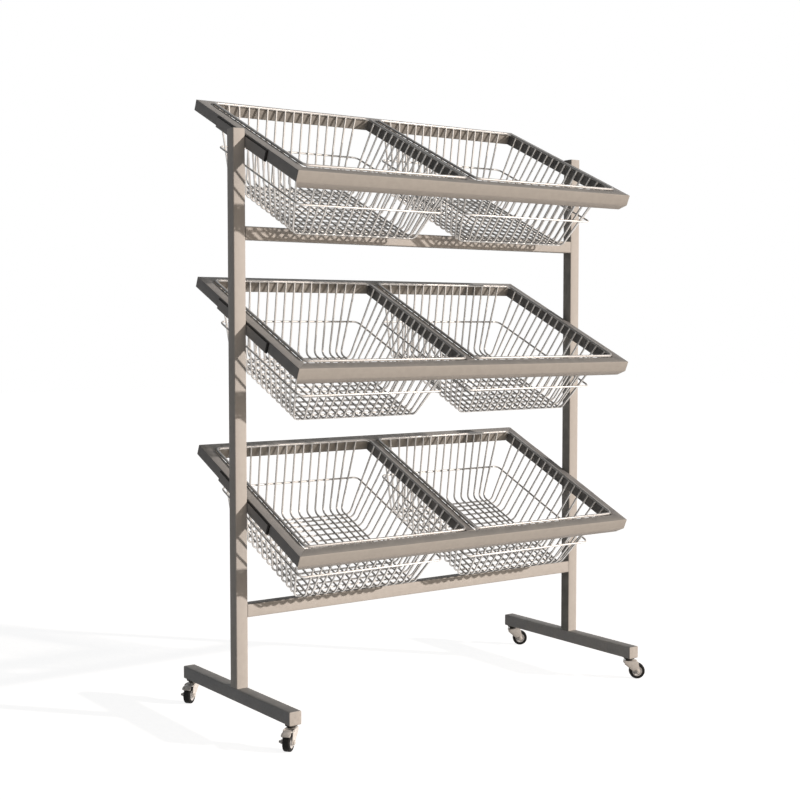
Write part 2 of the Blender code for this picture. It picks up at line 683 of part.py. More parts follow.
def build_casters(dark_steel, bright_steel, grey, rubber):
    """Four swivel casters under the ends of the feet; the left two have a brake pedal."""
    mount, axle, hub, tyre, pedal = mount_mesh(), axle_mesh(), hub_mesh(), tyre_mesh(), pedal_mesh()
    reach = FOOT_LENGTH / 2 - CASTER_INSET
    wheel_place = (CASTER_TRAIL, 0, WHEEL_DIAMETER / 2)
    for hand, sign, heading in (("left", -1, BRAKED_HEADING), ("right", 1, FREE_HEADING)):
        braked = hand == "left"
        fork = fork_mesh(braked)
        for end, y in (("front", -reach), ("rear", reach)):
            name = f"{end}_{hand}_"
            swivel = link(name + "swivel", None)
            swivel.location = (sign * UPRIGHT_SPACING / 2, y, 0)
            swivel.rotation_euler = (0, 0, heading)
            place(name + "caster_mount", mount, dark_steel, parent=swivel)
            place(name + "caster_fork", fork, bright_steel, parent=swivel)
            place(name + "axle", axle, bright_steel, wheel_place, parent=swivel)
            place(name + "hub", hub, grey, wheel_place, parent=swivel)
            place(name + "tyre", tyre, rubber, wheel_place, parent=swivel)
            if braked:
                pivot = (PEDAL_PIVOT, 0, PEDAL_PIVOT_HEIGHT)
                place(name + "brake_pedal", pedal, bright_steel, pivot, parent=swivel)


def main():
    clear_scene()
    steel = finish("satin_steel", (0.50, 0.46, 0.41), 0.45, 0.6)
    bracket_steel = finish("bracket_steel", (0.30, 0.29, 0.28), 0.5, 0.6)
    wire_steel = finish("bright_wire", (0.72, 0.70, 0.67), 0.3, 0.8)
    dark_steel = finish("dark_steel", (0.06, 0.06, 0.06), 0.5, 0.4)
    bright_steel = finish("bright_steel", (0.75, 0.74, 0.72), 0.3, 0.8)
    grey = finish("hub_plastic", (0.62, 0.62, 0.60), 0.5, 0)
    rubber = finish("tyre_rubber", (0.015, 0.015, 0.015), 0.7, 0)
    build_stand(steel)
    build_tiers(steel, bracket_steel, wire_steel)
    build_casters(dark_steel, bright_steel, grey, rubber)


main()
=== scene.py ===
# %% [markdown]
# # A produce stand with six wire baskets
#
# The stand is two square steel uprights on long feet, three sloping frames hung between them, six wire
# baskets that lift out of the frames, and four small casters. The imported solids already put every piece
# in its place and at its size. This lesson models each piece again with what a close look shows: rolled
# tube corners, mitred rails, round drawn wire with its welds, bent sheet and turned wheels.

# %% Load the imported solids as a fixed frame
import json
import math
import bmesh
import bpy
from mathutils import Matrix, Vector

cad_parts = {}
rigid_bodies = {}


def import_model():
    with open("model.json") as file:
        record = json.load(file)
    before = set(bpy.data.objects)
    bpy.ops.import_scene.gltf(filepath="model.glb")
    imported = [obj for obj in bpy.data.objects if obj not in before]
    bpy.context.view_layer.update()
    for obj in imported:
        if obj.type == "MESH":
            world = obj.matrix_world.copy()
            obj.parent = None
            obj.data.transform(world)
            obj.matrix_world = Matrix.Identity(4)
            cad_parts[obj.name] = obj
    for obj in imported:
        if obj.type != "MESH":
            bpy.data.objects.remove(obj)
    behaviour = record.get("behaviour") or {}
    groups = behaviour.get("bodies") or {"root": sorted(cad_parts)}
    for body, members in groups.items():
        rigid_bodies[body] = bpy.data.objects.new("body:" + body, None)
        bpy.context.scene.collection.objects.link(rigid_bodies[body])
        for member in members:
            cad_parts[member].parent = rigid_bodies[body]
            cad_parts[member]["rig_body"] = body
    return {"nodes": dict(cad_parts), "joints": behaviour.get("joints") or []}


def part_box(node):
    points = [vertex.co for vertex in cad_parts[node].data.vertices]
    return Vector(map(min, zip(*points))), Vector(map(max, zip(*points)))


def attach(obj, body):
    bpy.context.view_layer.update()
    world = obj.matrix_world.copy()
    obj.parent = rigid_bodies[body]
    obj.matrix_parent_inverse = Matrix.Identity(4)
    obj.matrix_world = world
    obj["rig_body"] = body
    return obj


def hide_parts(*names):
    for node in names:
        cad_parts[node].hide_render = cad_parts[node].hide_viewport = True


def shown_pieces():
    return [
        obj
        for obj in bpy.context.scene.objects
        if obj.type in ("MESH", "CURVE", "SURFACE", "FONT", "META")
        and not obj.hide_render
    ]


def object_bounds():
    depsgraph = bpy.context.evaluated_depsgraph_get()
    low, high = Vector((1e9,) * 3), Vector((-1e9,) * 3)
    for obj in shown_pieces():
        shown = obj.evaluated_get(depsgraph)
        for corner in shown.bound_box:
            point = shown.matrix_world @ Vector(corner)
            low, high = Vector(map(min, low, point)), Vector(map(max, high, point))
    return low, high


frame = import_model()
scene = bpy.context.scene
cad_low, cad_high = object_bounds()
print("stand, mm:", [round(1000 * side) for side in cad_high - cad_low])

# %% [markdown]
# ## Measuring instead of typing
#
# A piece could be placed by typing its coordinates again, but then it would drift from the solids at the
# first change. Here each piece's place is measured: a solid's box can be taken along any set of axes, so a
# rail on a slope still gives its true length, width and height.

# %% Boxes along any axes
joints = {joint["name"]: joint for joint in frame["joints"]}


def box_in(node, axes):
    """The lowest and highest corner of a solid, measured along the axes of a placing matrix."""
    back = axes.inverted()
    points = [back @ vert.co for vert in frame["nodes"][node].data.vertices]
    low = Vector([min(point[axis] for point in points) for axis in range(3)])
    high = Vector([max(point[axis] for point in points) for axis in range(3)])
    return low, high


# %% [markdown]
# The three frames share one slope. The baskets lift out square to it, so the lift joints' direction gives
# the slope, and the bar across the middle of each frame gives the place of its top face.

# %% The sloping axes of the three frames
TIERS = ("bottom", "middle", "top")
lift = Vector(joints["bottom_left_basket_lift"]["axis"])
slope = Matrix.Rotation(math.atan2(-lift.y, lift.z), 4, "X")


def tier_axes(tier):
    """Axes with X along the stand, Y up the slope and Z out of the frame, from the middle of its top."""
    low, high = box_in(tier + "_divider", slope)
    return slope @ Matrix.Translation((0, (low.y + high.y) / 2, high.z))


tiers = {tier: tier_axes(tier) for tier in TIERS}
for tier, axes in tiers.items():
    print(tier, "frame at", [round(1000 * x, 1) for x in axes.translation], "mm")

# %% [markdown]
# ## Small helpers for nodes
#
# Every finish below is a handful of shader nodes. A few helpers that make a node, set its values and draw
# its links keep each finish short enough to read as a recipe. The Mix node has several sockets of the same
# name, one for each kind of value, so its colour sockets are found by their numbers.

# %% Making nodes
MIX_A, MIX_B, MIX_RESULT = 6, 7, 2


def feed(tree, node, inputs):
    """Link the sockets among a node's inputs, and set the other values."""
    for label, value in inputs.items():
        if isinstance(value, bpy.types.NodeSocket):
            tree.links.new(value, node.inputs[label])
        else:
            node.inputs[label].default_value = value


def put(tree, kind, inputs=None, **settings):
    """A new shader node with its settings and inputs."""
    node = tree.nodes.new("ShaderNode" + kind)
    for name, value in settings.items():
        setattr(node, name, value)
    feed(tree, node, inputs or {})
    return node


def calculate(tree, operation, first, second):
    return put(tree, "Math", {0: first, 1: second}, operation=operation).outputs["Value"]


def remap(tree, value, low, high, to_low=0.0, to_high=1.0):
    """A value stretched from one range to another."""
    inputs = {"Value": value, "From Min": low, "From Max": high, "To Min": to_low, "To Max": to_high}
    return put(tree, "MapRange", inputs).outputs["Result"]


def noise(tree, place, scale, **more):
    """The grey of a noise texture."""
    return put(tree, "TexNoise", {"Vector": place, "Scale": scale, **more}).outputs["Fac"]


def blend_colours(tree, factor, first, second):
    """A mix of two colours."""
    inputs = {0: factor, MIX_A: first, MIX_B: second}
    return put(tree, "Mix", inputs, data_type="RGBA").outputs[MIX_RESULT]


# %% Making materials and groups


def new_material(name):
    """A new material, its node tree and its shader."""
    material = bpy.data.materials.new(name)
    material.use_nodes = True
    return material, material.node_tree, material.node_tree.nodes["Principled BSDF"]


def new_group(name, inputs, outputs):
    """A node group, the sockets it is given and its output node; an input with no value is a vector."""
    group = bpy.data.node_groups.new(name, "ShaderNodeTree")
    for label, value in inputs.items():
        kind = "NodeSocketVector" if value is None else "NodeSocketFloat"
        socket = group.interface.new_socket(label, in_out="INPUT", socket_type=kind)
        if value is not None:
            socket.default_value = value
    for label in outputs:
        group.interface.new_socket(label, in_out="OUTPUT", socket_type="NodeSocketFloat")
    return group, group.nodes.new("NodeGroupInput").outputs, group.nodes.new("NodeGroupOutput")


# %% [markdown]
# ## What the metal has in common
#
# Cold drawn tube and wire carry fine lines along their length. Handling leaves soft patches that shine a
# little more or less. Edges rub bright, faces turned one way take painted shade and painted highlights, and
# the lowest pieces gather grey dust. Each of the five could be painted into every finish by hand. As node
# groups they are made once and set to taste in each material.

# %% Lines left by drawing, and patches left by hands
LINE_RANGE = (0.3, 0.7)
PATCH_RANGE = (0.38, 0.66)

drawn, given, result = new_group("drawn_lines", {"Vector": None, "Scale": 900.0}, ["Height", "Streak"])
lines = noise(drawn, given["Vector"], given["Scale"], Detail=3.0, Roughness=0.6)
feed(drawn, result, {"Height": lines, "Streak": remap(drawn, lines, *LINE_RANGE)})

handled, given, result = new_group("handling_patches", {"Vector": None, "Scale": 9.0}, ["Mask"])
patches = noise(handled, given["Vector"], given["Scale"], Detail=5.0, Roughness=0.55, Distortion=0.3)
feed(handled, result, {"Mask": remap(handled, patches, *PATCH_RANGE)})
print("groups:", [group.name for group in bpy.data.node_groups])

# %% Edges rubbed bright, and painted shade and highlights on faces by the way they turn
EDGE_RANGE = (0.52, 0.60)
BREAK_SCALE, BREAK_RANGE = 70.0, (0.40, 0.62)
FACING_RANGE = (0.60, 0.90)
PATCHY_SCALE, PATCHY_RANGE = 35.0, (0.25, 0.60)
PATCHY_LEAST = 0.75

rubbed, given, result = new_group("rubbed_edges", {"Vector": None, "Pointiness": 0.5}, ["Mask"])
convex = remap(rubbed, given["Pointiness"], *EDGE_RANGE)
breaks = remap(rubbed, noise(rubbed, given["Vector"], BREAK_SCALE, Detail=4.0), *BREAK_RANGE)
feed(rubbed, result, {"Mask": calculate(rubbed, "MULTIPLY", convex, breaks)})

# A mask for faces turned one way, made patchy by noise, to paint shade and highlights on them.
painted_by_facing, given, result = new_group("dulled_faces", {"Vector": None, "Normal": None, "Way": None}, ["Mask"])
facing = put(painted_by_facing, "VectorMath", {0: given["Normal"], 1: given["Way"]}, operation="DOT_PRODUCT")
turned_there = remap(painted_by_facing, facing.outputs["Value"], *FACING_RANGE)
patchy = noise(painted_by_facing, given["Vector"], PATCHY_SCALE, Detail=5.0)
uneven = remap(painted_by_facing, patchy, *PATCHY_RANGE, PATCHY_LEAST)
feed(painted_by_facing, result, {"Mask": calculate(painted_by_facing, "MULTIPLY", turned_there, uneven)})
print("groups:", [group.name for group in bpy.data.node_groups])

# %% Dust near the floor
DUST_COLOUR = (0.30, 0.285, 0.265, 1)
SPECK_SCALE, SPECK_RANGE = 160.0, (0.42, 0.75)

dusty, given, result = new_group("floor_dust", {"Vector": None, "Reach": 0.12}, ["Mask"])
height = put(dusty, "SeparateXYZ", {"Vector": given["Vector"]}).outputs["Z"]
fall = remap(dusty, height, 0.0, given["Reach"], 1.0, 0.0)
specks = remap(dusty, noise(dusty, given["Vector"], SPECK_SCALE, Detail=6.0), *SPECK_RANGE)
feed(dusty, result, {"Mask": calculate(dusty, "MULTIPLY", fall, specks)})
print("groups:", [group.name for group in bpy.data.node_groups])


def settle_dust(tree, place, shade, share):
    """A colour with a share of the floor's dust on it."""
    powder = put(tree, "Group", {"Vector": place}, node_tree=dusty).outputs["Mask"]
    return blend_colours(tree, calculate(tree, "MULTIPLY", powder, share), shade, DUST_COLOUR)


# %% [markdown]
# ## Satin steel
#
# The frame is satin steel. A mirror-like metal would show the white room everywhere, and the real tubes
# don't: their faces go from cream to dark grey as they turn from the light. So the finish is a matt grey
# with a faint, wide gloss, and the warm cast comes from the lamps. The drawn lines follow each tube, which
# is why the finish takes the direction of the grain: the Mapping node squeezes the pattern along it.

# %% The recipe for drawn metal
GRAIN_STRETCH = 0.012
LINE_BUMP = 0.12
LINE_DEPTH = 0.0002


def along_grain(tree, place, run, turn):
    """Coordinates turned onto a piece's own axes and squeezed along its grain."""
    stretch = [1.0, 1.0, 1.0]
    stretch[run] = GRAIN_STRETCH
    own = put(tree, "Mapping", {"Vector": place, "Rotation": (-turn, 0, 0)}).outputs["Vector"]
    return put(tree, "Mapping", {"Vector": own, "Scale": stretch}).outputs["Vector"]


def metal(name, colour, streak_colour, run, turn=0.0, roughness=(0.46, 0.58), specular=0.05, metallic=0.0,
          edge_colour=None, dust=0.0, painted_light_faces=(), lines_scale=900.0):
    """A drawn or rolled metal with its lines, patches, rubbed edges, painted shade and highlights, and dust.
    """
    material, tree, shader = new_material(name)
    coordinates = put(tree, "TexCoord").outputs
    place = coordinates["Object"]
    along = along_grain(tree, place, run, turn)
    lines = put(tree, "Group", {"Vector": along, "Scale": lines_scale}, node_tree=drawn).outputs
    marks = put(tree, "Group", {"Vector": place}, node_tree=handled).outputs["Mask"]
    wear = {"Vector": place, "Pointiness": put(tree, "NewGeometry").outputs["Pointiness"]}
    edges = put(tree, "Group", wear, node_tree=rubbed).outputs["Mask"]
    shade = blend_colours(tree, lines["Streak"], colour, streak_colour)
    shade = blend_colours(tree, edges, shade, edge_colour or colour)
    # Painted shade and painted highlights on the faces turned each given way.
    for way, painted_colour in painted_light_faces:
        inputs = {"Vector": place, "Normal": coordinates["Normal"], "Way": way}
        faces = put(tree, "Group", inputs, node_tree=painted_by_facing).outputs["Mask"]
        shade = blend_colours(tree, faces, shade, painted_colour)
    if dust:
        shade = settle_dust(tree, place, shade, dust)
    bump = put(tree, "Bump", {"Height": lines["Height"], "Strength": LINE_BUMP, "Distance": LINE_DEPTH})
    feed(tree, shader, {"Base Color": shade, "Roughness": remap(tree, marks, 0.0, 1.0, *roughness),
                        "Normal": bump.outputs["Normal"], "Specular IOR Level": specular,
                        "Metallic": metallic})
    return material


# %% [markdown]
# Tubes and rails take the one recipe with different faces of painted light. The tops, the sides turned to
# the left and the insides of the frames carry painted shade, darker than these lamps would leave them;
# so do the rear rails' faces towards the baskets, and the crossbars' tops a deeper painted shadow. The same
# mask paints a highlight on the lip under a front rail: it faces down on a slant, so its direction is a
# little longer than 1.

# %% Colours of the frame, with its painted shade and highlights
FRAME_COLOUR = (0.64, 0.615, 0.58, 1)
FRAME_STREAK = (0.58, 0.555, 0.52, 1)
# The front and rear rails take a darker copy of the frame colour: painted shade.
RAIL_SHADED = (0.54, 0.52, 0.485, 1)
RAIL_SHADED_STREAK = (0.49, 0.47, 0.44, 1)
PLATE_COLOUR = (0.43, 0.42, 0.41, 1)
PLATE_STREAK = (0.38, 0.37, 0.36, 1)
# Painted shadow on a bracket's top and front end, where the rail shades it, and on the band along them.
PAINTED_SHADOW = (0.02, 0.02, 0.02, 1)
SHADOW_BAND_STREAK = (0.04, 0.038, 0.036, 1)
# Painted light from here to the end of the block: painted shade on tops, left sides, insides and the rear
# rails' faces towards the baskets, painted shadow on the crossbars' tops, and a painted highlight on the
# front rails' lips.
TOP_SHADE = (0.38, 0.38, 0.375, 1)
CROSSBAR_TOP_SHADOW = (0.14, 0.14, 0.14, 1)
FRONT_TOP_SHADE = (0.26, 0.26, 0.255, 1)
LIP_HIGHLIGHT = (0.80, 0.77, 0.73, 1)
FOOT_TOP_SHADE = (0.31, 0.315, 0.315, 1)
FOOT_FLANK_SHADE = (0.46, 0.465, 0.47, 1)
FLANK_SHADE = (0.26, 0.26, 0.25, 1)
RAIL_FLANK_SHADE = (0.36, 0.355, 0.35, 1)
INNER_TOP_SHADE = (0.23, 0.23, 0.23, 1)
INNER_SHADE = (0.15, 0.15, 0.15, 1)
REAR_FACE_SHADE = (0.36, 0.345, 0.32, 1)

# %% Frame and bracket finishes, with their painted light
UP, DOWN, LEFT, FRONT = (0, 0, 1), (0, 0, -1.05), (-1, 0, 0), (0, -1, 0)
ALONG_X, ALONG_Y, ALONG_Z = range(3)
TUBE_DUST = 0.6
tilt = slope.to_euler().x
shaded_tops = (UP, TOP_SHADE)


def tube_steel(part, run, *painted_light_faces):
    return metal("satin_tube_" + part, FRAME_COLOUR, FRAME_STREAK, run, dust=TUBE_DUST,
                 painted_light_faces=painted_light_faces)


# The front and rear rails: the frame steel with its colour darkened as painted shade.
def long_rail_steel(part, *painted_light_faces):
    return metal("satin_rail_" + part, RAIL_SHADED, RAIL_SHADED_STREAK, ALONG_X, turn=tilt,
                 painted_light_faces=painted_light_faces)


def short_rail_steel(part, *painted_light_faces):
    return metal("satin_rail_" + part, FRAME_COLOUR, FRAME_STREAK, ALONG_Y, turn=tilt,
                 painted_light_faces=painted_light_faces)


# These copies of one steel differ by painted shade and highlights on faces turned one way.
upright_steel = tube_steel("upright", ALONG_Z, shaded_tops)
flank_steel = tube_steel("flank", ALONG_Z, shaded_tops, (LEFT, FLANK_SHADE))
crossbar_steel = tube_steel("crossbar", ALONG_X, (UP, CROSSBAR_TOP_SHADOW))
foot_steel = tube_steel("foot", ALONG_Y, (UP, FOOT_TOP_SHADE), (LEFT, FOOT_FLANK_SHADE))
front_steel = long_rail_steel("front", (UP, FRONT_TOP_SHADE), (DOWN, LIP_HIGHLIGHT))
rear_steel = long_rail_steel("rear", shaded_tops, (FRONT, REAR_FACE_SHADE))
side_steel = short_rail_steel("side", shaded_tops, (LEFT, RAIL_FLANK_SHADE))
inner_steel = short_rail_steel("inside", (UP, INNER_TOP_SHADE), (LEFT, INNER_SHADE))
# The bracket plates carry painted shadow on their top and front faces, and so does the band along them.
plate_steel = metal("dark_satin_plate", PLATE_COLOUR, PLATE_STREAK, ALONG_Y, turn=tilt,
                    painted_light_faces=[(UP, PAINTED_SHADOW), (FRONT, PAINTED_SHADOW)])
shadow_band_steel = metal("burnt_weld_seam", PAINTED_SHADOW, SHADOW_BAND_STREAK, ALONG_Y, turn=tilt)
print("finishes:", len(bpy.data.materials))

# %% [markdown]
# ## Turning a mesh into a piece
#
# Each piece ends the same way: its faces point outwards, round parts are shaded smooth while corners stay
# crisp, and the piece rides on the body of the solid that it stands for. The mesh keeps its place in its
# own vertices, so the object stays at the origin and patterns on Object coordinates stay put.

# %% Finishing pieces
SMOOTH_BELOW = math.radians(38)


def show(mesh, node, suffix, material, second=None):
    """Put a finished mesh on stage in the place of a solid, with a second material where it has one."""
    mesh.materials.append(material)
    if second:
        mesh.materials.append(second)
    mesh.shade_smooth()
    mesh.set_sharp_from_angle(angle=SMOOTH_BELOW)
    piece = bpy.data.objects.new(node + suffix, mesh)
    scene.collection.objects.link(piece)
    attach(piece, frame["nodes"][node]["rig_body"])
    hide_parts(node)


def made(*endings):
    """The names of the pieces so far that end in one of a few ways."""
    return [piece.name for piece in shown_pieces() if piece.name.endswith(endings)]


def to_mesh(bm, name, place=None):
    """A bmesh as a mesh with its faces pointing out, moved to its place."""
    if place is not None:
        bmesh.ops.transform(bm, matrix=place, verts=bm.verts)
    bmesh.ops.recalc_face_normals(bm, faces=bm.faces)
    mesh = bpy.data.meshes.new(name)
    bm.to_mesh(mesh)
    bm.free()
    return mesh


# %% Bars with rolled edges
ALIGNED = 0.999


def bevel(bm, edges, width, segments):
    """Round some edges to a width."""
    bmesh.ops.bevel(bm, geom=edges, offset=width, offset_type="OFFSET", segments=segments, profile=0.5,
                    affect="EDGES", clamp_overlap=True, material=-1)


def edges_along(bm, run):
    """The edges that run along one axis."""
    found = []
    for edge in bm.edges:
        way = (edge.verts[1].co - edge.verts[0].co).normalized()
        if abs(way[run]) > ALIGNED:
            found.append(edge)
    return found


def end_faces(bm, run):
    """The faces that close a bar at its two ends, the lower end first."""
    bm.normal_update()
    ends = [face for face in bm.faces if abs(face.normal[run]) > ALIGNED]
    return sorted(ends, key=lambda face: face.calc_center_median()[run])


def bar(low, high, run, corner, segments=4):
    """A bar between two corners, its four edges along one axis rolled to a radius."""
    bm = bmesh.new()
    shape = Matrix.Diagonal((*(high - low), 1))
    bmesh.ops.create_cube(bm, size=1, matrix=Matrix.Translation((low + high) / 2) @ shape)
    bevel(bm, edges_along(bm, run), corner, segments)
    return bm


# %% [markdown]
# ## Uprights, feet and crossbars
#
# They are square tube. A cube stretched to the solid's box has the size, but tube is rolled from
# strip, so its long edges are round: a bevel of four segments gives them a highlight. The open ends of the
# feet and crossbars get their wall by an inset at each end and a bridge between the two inner outlines.
# The uprights are closed on top, where the cap's edge is eased.

# %% Square tubes
HANDS = ("left", "right")
TUBE_CORNER = 0.0026
TUBE_WALL = 0.0015
CAP_EASE = 0.0007


def hollow(bm, run, wall):
    """Open a bar from end to end."""
    ends = end_faces(bm, run)
    bmesh.ops.inset_region(bm, faces=ends, thickness=wall, use_even_offset=True)
    loops = [edge for face in ends for edge in face.edges]
    bmesh.ops.delete(bm, geom=ends, context="FACES_ONLY")
    bmesh.ops.bridge_loops(bm, edges=loops)


def tube(node, run, material, closed=False):
    """A square tube in the place of a solid, closed on top or open at both ends."""
    low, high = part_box(node)
    bm = bar(low, high, run, TUBE_CORNER)
    if closed:
        bevel(bm, list(end_faces(bm, run)[-1].edges), CAP_EASE, segments=2)
    else:
        hollow(bm, run, TUBE_WALL)
    show(to_mesh(bm, node), node, "_tube", material)


tube("left_upright", ALONG_Z, upright_steel, closed=True)
tube("right_upright", ALONG_Z, flank_steel, closed=True)
for hand in HANDS:
    tube(hand + "_foot", ALONG_Y, foot_steel)
for level in ("upper", "lower"):
    tube(level + "_crossbar", ALONG_X, crossbar_steel)
print("tubes:", made("_tube"))

# %% [markdown]
# ## End plugs
#
# Each foot is closed by a pressed plug: a plate as wide as the tube, with a stub inside that holds it. One
# cube is enough. Its corners are rolled like the tube's, the inner face is inset by the wall and pulled
# out into the stub, and the rim of the plate is rounded.

# %% Plugs in the feet
PLUG_FACE = 0.002
PLUG_FIT = 0.0003
PLUG_ROUND = 0.0009


def verts_of(items):
    return [item for item in items if isinstance(item, bmesh.types.BMVert)]


def pull(bm, face, way):
    """Extrude a face and move its new end."""
    pulled = bmesh.ops.extrude_face_region(bm, geom=[face])["geom"]
    bmesh.ops.translate(bm, verts=verts_of(pulled), vec=way)


def plug(node, inward):
    """A plug whose stub points along +Y or -Y."""
    low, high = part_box(node)
    outer = low.y if inward > 0 else high.y
    seat = outer + inward * PLUG_FACE
    plate_low, plate_high = low.copy(), high.copy()
    plate_low.y, plate_high.y = min(outer, seat), max(outer, seat)
    bm = bar(plate_low, plate_high, ALONG_Y, TUBE_CORNER)
    ends = end_faces(bm, ALONG_Y)
    outside, inside = ends if inward > 0 else ends[::-1]
    bmesh.ops.inset_region(bm, faces=[inside], thickness=TUBE_WALL + PLUG_FIT, use_even_offset=True)
    pull(bm, inside, (0, inward * (high.y - low.y - PLUG_FACE), 0))
    bmesh.ops.delete(bm, geom=[inside], context="FACES_ONLY")
    bevel(bm, list(outside.edges), PLUG_ROUND, segments=3)
    show(to_mesh(bm, node), node, "_cap", foot_steel)


for hand in HANDS:
    plug(hand + "_foot_front_plug", 1)
    plug(hand + "_foot_rear_plug", -1)
print("plugs:", made("_cap"))

# %% [markdown]
# ## Rails of the sloping frames
#
# Four mitred rails make each frame, and a bar divides it in two. The front rail also has a lip, bent in
# under it. A rail could be a box with its ends cut by a Boolean, but a section drawn once and extruded
# is simpler: its long edges are rounded like folded sheet, and two slanting planes slice the mitres.

# %% The section of a rail
FOLD = 0.0010
LIP_INSET = 0.012
LIP_THICKNESS = 0.002
rail_low, rail_high = box_in("bottom_rear_rail", tiers["bottom"])
rail_height = rail_high.z - rail_low.z


def rail_section(width, depth):
    """A rail's outline as (inward, up) points; the part of its depth below the rail is a bent lip."""
    outline = [(0, 0), (width, 0), (width, -rail_height)]
    if depth > rail_height + FOLD:
        fall = Vector((LIP_INSET, rail_height - depth))
        across = fall.orthogonal().normalized() * LIP_THICKNESS
        across = across if across.x > 0 else -across
        edge = Vector((LIP_INSET, -depth))
        back = edge + across
        root = back - fall * ((back.y + rail_height) / fall.y)
        outline += [tuple(root), tuple(back), tuple(edge)]
    return outline + [(0, -rail_height)]


# %% Rails sliced to their mitres
MITRE_SPARE = 0.010
SIDES = {"front": 0.0, "rear": math.pi, "left": -math.pi / 2, "right": math.pi / 2}
rail_finish = {"front": front_steel, "rear": rear_steel, "left": side_steel, "right": inner_steel}


def edges_of(items):
    return [item for item in items if isinstance(item, bmesh.types.BMEdge)]


def slice_by(bm, point, way, clear=False):
    """Cut a mesh along a plane, clearing what lies beyond it or not, and return the edges of the cut."""
    cut = bmesh.ops.bisect_plane(bm, geom=bm.verts[:] + bm.edges[:] + bm.faces[:], plane_co=point,
                                 plane_no=way, clear_outer=clear)
    return edges_of(cut["geom_cut"])


def rail(tier, side):
    """One rail of a frame, with its outer face turned to its own side."""
    node = f"{tier}_{side}_rail"
    axes = tiers[tier] @ Matrix.Rotation(SIDES[side], 4, "Z")
    low, high = box_in(node, axes)
    half = (high.x - low.x) / 2
    start = -half - MITRE_SPARE
    section = rail_section(high.y - low.y, high.z - low.z)
    bm = bmesh.new()
    profile = bm.faces.new([bm.verts.new((start, inward, up)) for inward, up in section])
    pull(bm, profile, (-2 * start, 0, 0))
    bevel(bm, edges_along(bm, ALONG_X), FOLD, segments=3)
    for end in (-1, 1):
        bmesh.ops.edgeloop_fill(bm, edges=slice_by(bm, (end * half, 0, 0), (end, 1, 0), clear=True))
    place = axes @ Matrix.Translation(((low.x + high.x) / 2, low.y, high.z))
    show(to_mesh(bm, node, place), node, "_section", rail_finish[side])


for tier in TIERS:
    for side in SIDES:
        rail(tier, side)
print("rails:", len(made("_section")), "of height", round(1000 * rail_height, 1), "mm")

# %% [markdown]
# The dividing bars and the flat brackets between frame and uprights are straight stock, so each is the
# same bar as a tube, shaped along the sloping axes and then laid on the slope. A dark band along a bracket's
# top and front end is painted shadow, where the rail shades the plate. Two cuts by a plane part the band
# from the plate, and its faces take a second material.

# %% Dividers and brackets
DIVIDER_CORNER = 0.0016
BRACKET_EDGE = 0.0006
SHADOW_BAND_TOP = 0.003
SHADOW_BAND_FRONT = 0.006
SECOND_MATERIAL = 1


def paint_shadow_band(bm, low, high):
    """Give the faces along a plate's top and front end the second material, a painted shadow."""
    front, top = low.y + SHADOW_BAND_FRONT, high.z - SHADOW_BAND_TOP
    slice_by(bm, (0, front, 0), (0, 1, 0))
    slice_by(bm, (0, 0, top), (0, 0, 1))
    for face in bm.faces:
        middle = face.calc_center_median()
        if middle.y < front or middle.z > top:
            face.material_index = SECOND_MATERIAL


def sloping_bar(node, suffix, tier, corner, material, shadow_finish=None):
    """A straight bar on a frame's slope, with a painted shadow band along top and front where it has one."""
    low, high = box_in(node, tiers[tier])
    bm = bar(low, high, ALONG_Y, corner, segments=3)
    for face in end_faces(bm, ALONG_Y):
        bevel(bm, list(face.edges), BRACKET_EDGE / 2, segments=1)
    if shadow_finish:
        paint_shadow_band(bm, low, high)
    show(to_mesh(bm, node, tiers[tier]), node, suffix, material, shadow_finish)


for tier in TIERS:
    sloping_bar(tier + "_divider", "_bar", tier, DIVIDER_CORNER, inner_steel)
    for hand in HANDS:
        sloping_bar(f"{tier}_{hand}_bracket", "_plate", tier, BRACKET_EDGE, plate_steel,
                    shadow_band_steel)
print("bars:", len(made("_bar", "_plate")))

# %% [markdown]
# ## A wire basket
#
# The basket is a rim of thick wire, thin wires that run down one wall, across the floor and up the other,
# both ways, and a hoop round its waist. Curves with a bevel would give round wire quickly, but drawing it
# as a wire bender does keeps every ring of points square to the wire: a circle is pushed along each
# straight run, and at each bend it is spun about the bend's centre.

# %% Bending wire
WIRE_SIDES = 10
BEND_STEPS = 5


def push(bm, ring, way):
    """Extend a ring of edges along a straight run and return the new ring."""
    pulled = bmesh.ops.extrude_edge_only(bm, edges=ring)["geom"]
    verts = verts_of(pulled)
    bmesh.ops.translate(bm, verts=verts, vec=way)
    return [edge for edge in edges_of(pulled) if all(vert in verts for vert in edge.verts)]


def turn_wire(bm, ring, at, heading, after, setback):
    """Spin a ring round a bend that starts a setback before a corner, and return the new ring."""
    angle = heading.angle(after)
    towards = (after - heading * heading.dot(after)).normalized()
    centre = at + towards * setback / math.tan(angle / 2)
    verts = list({vert for edge in ring for vert in edge.verts})
    spun = bmesh.ops.spin(bm, geom=verts + ring, cent=centre, axis=heading.cross(after).normalized(),
                          angle=angle, steps=BEND_STEPS)
    return edges_of(spun["geom_last"])


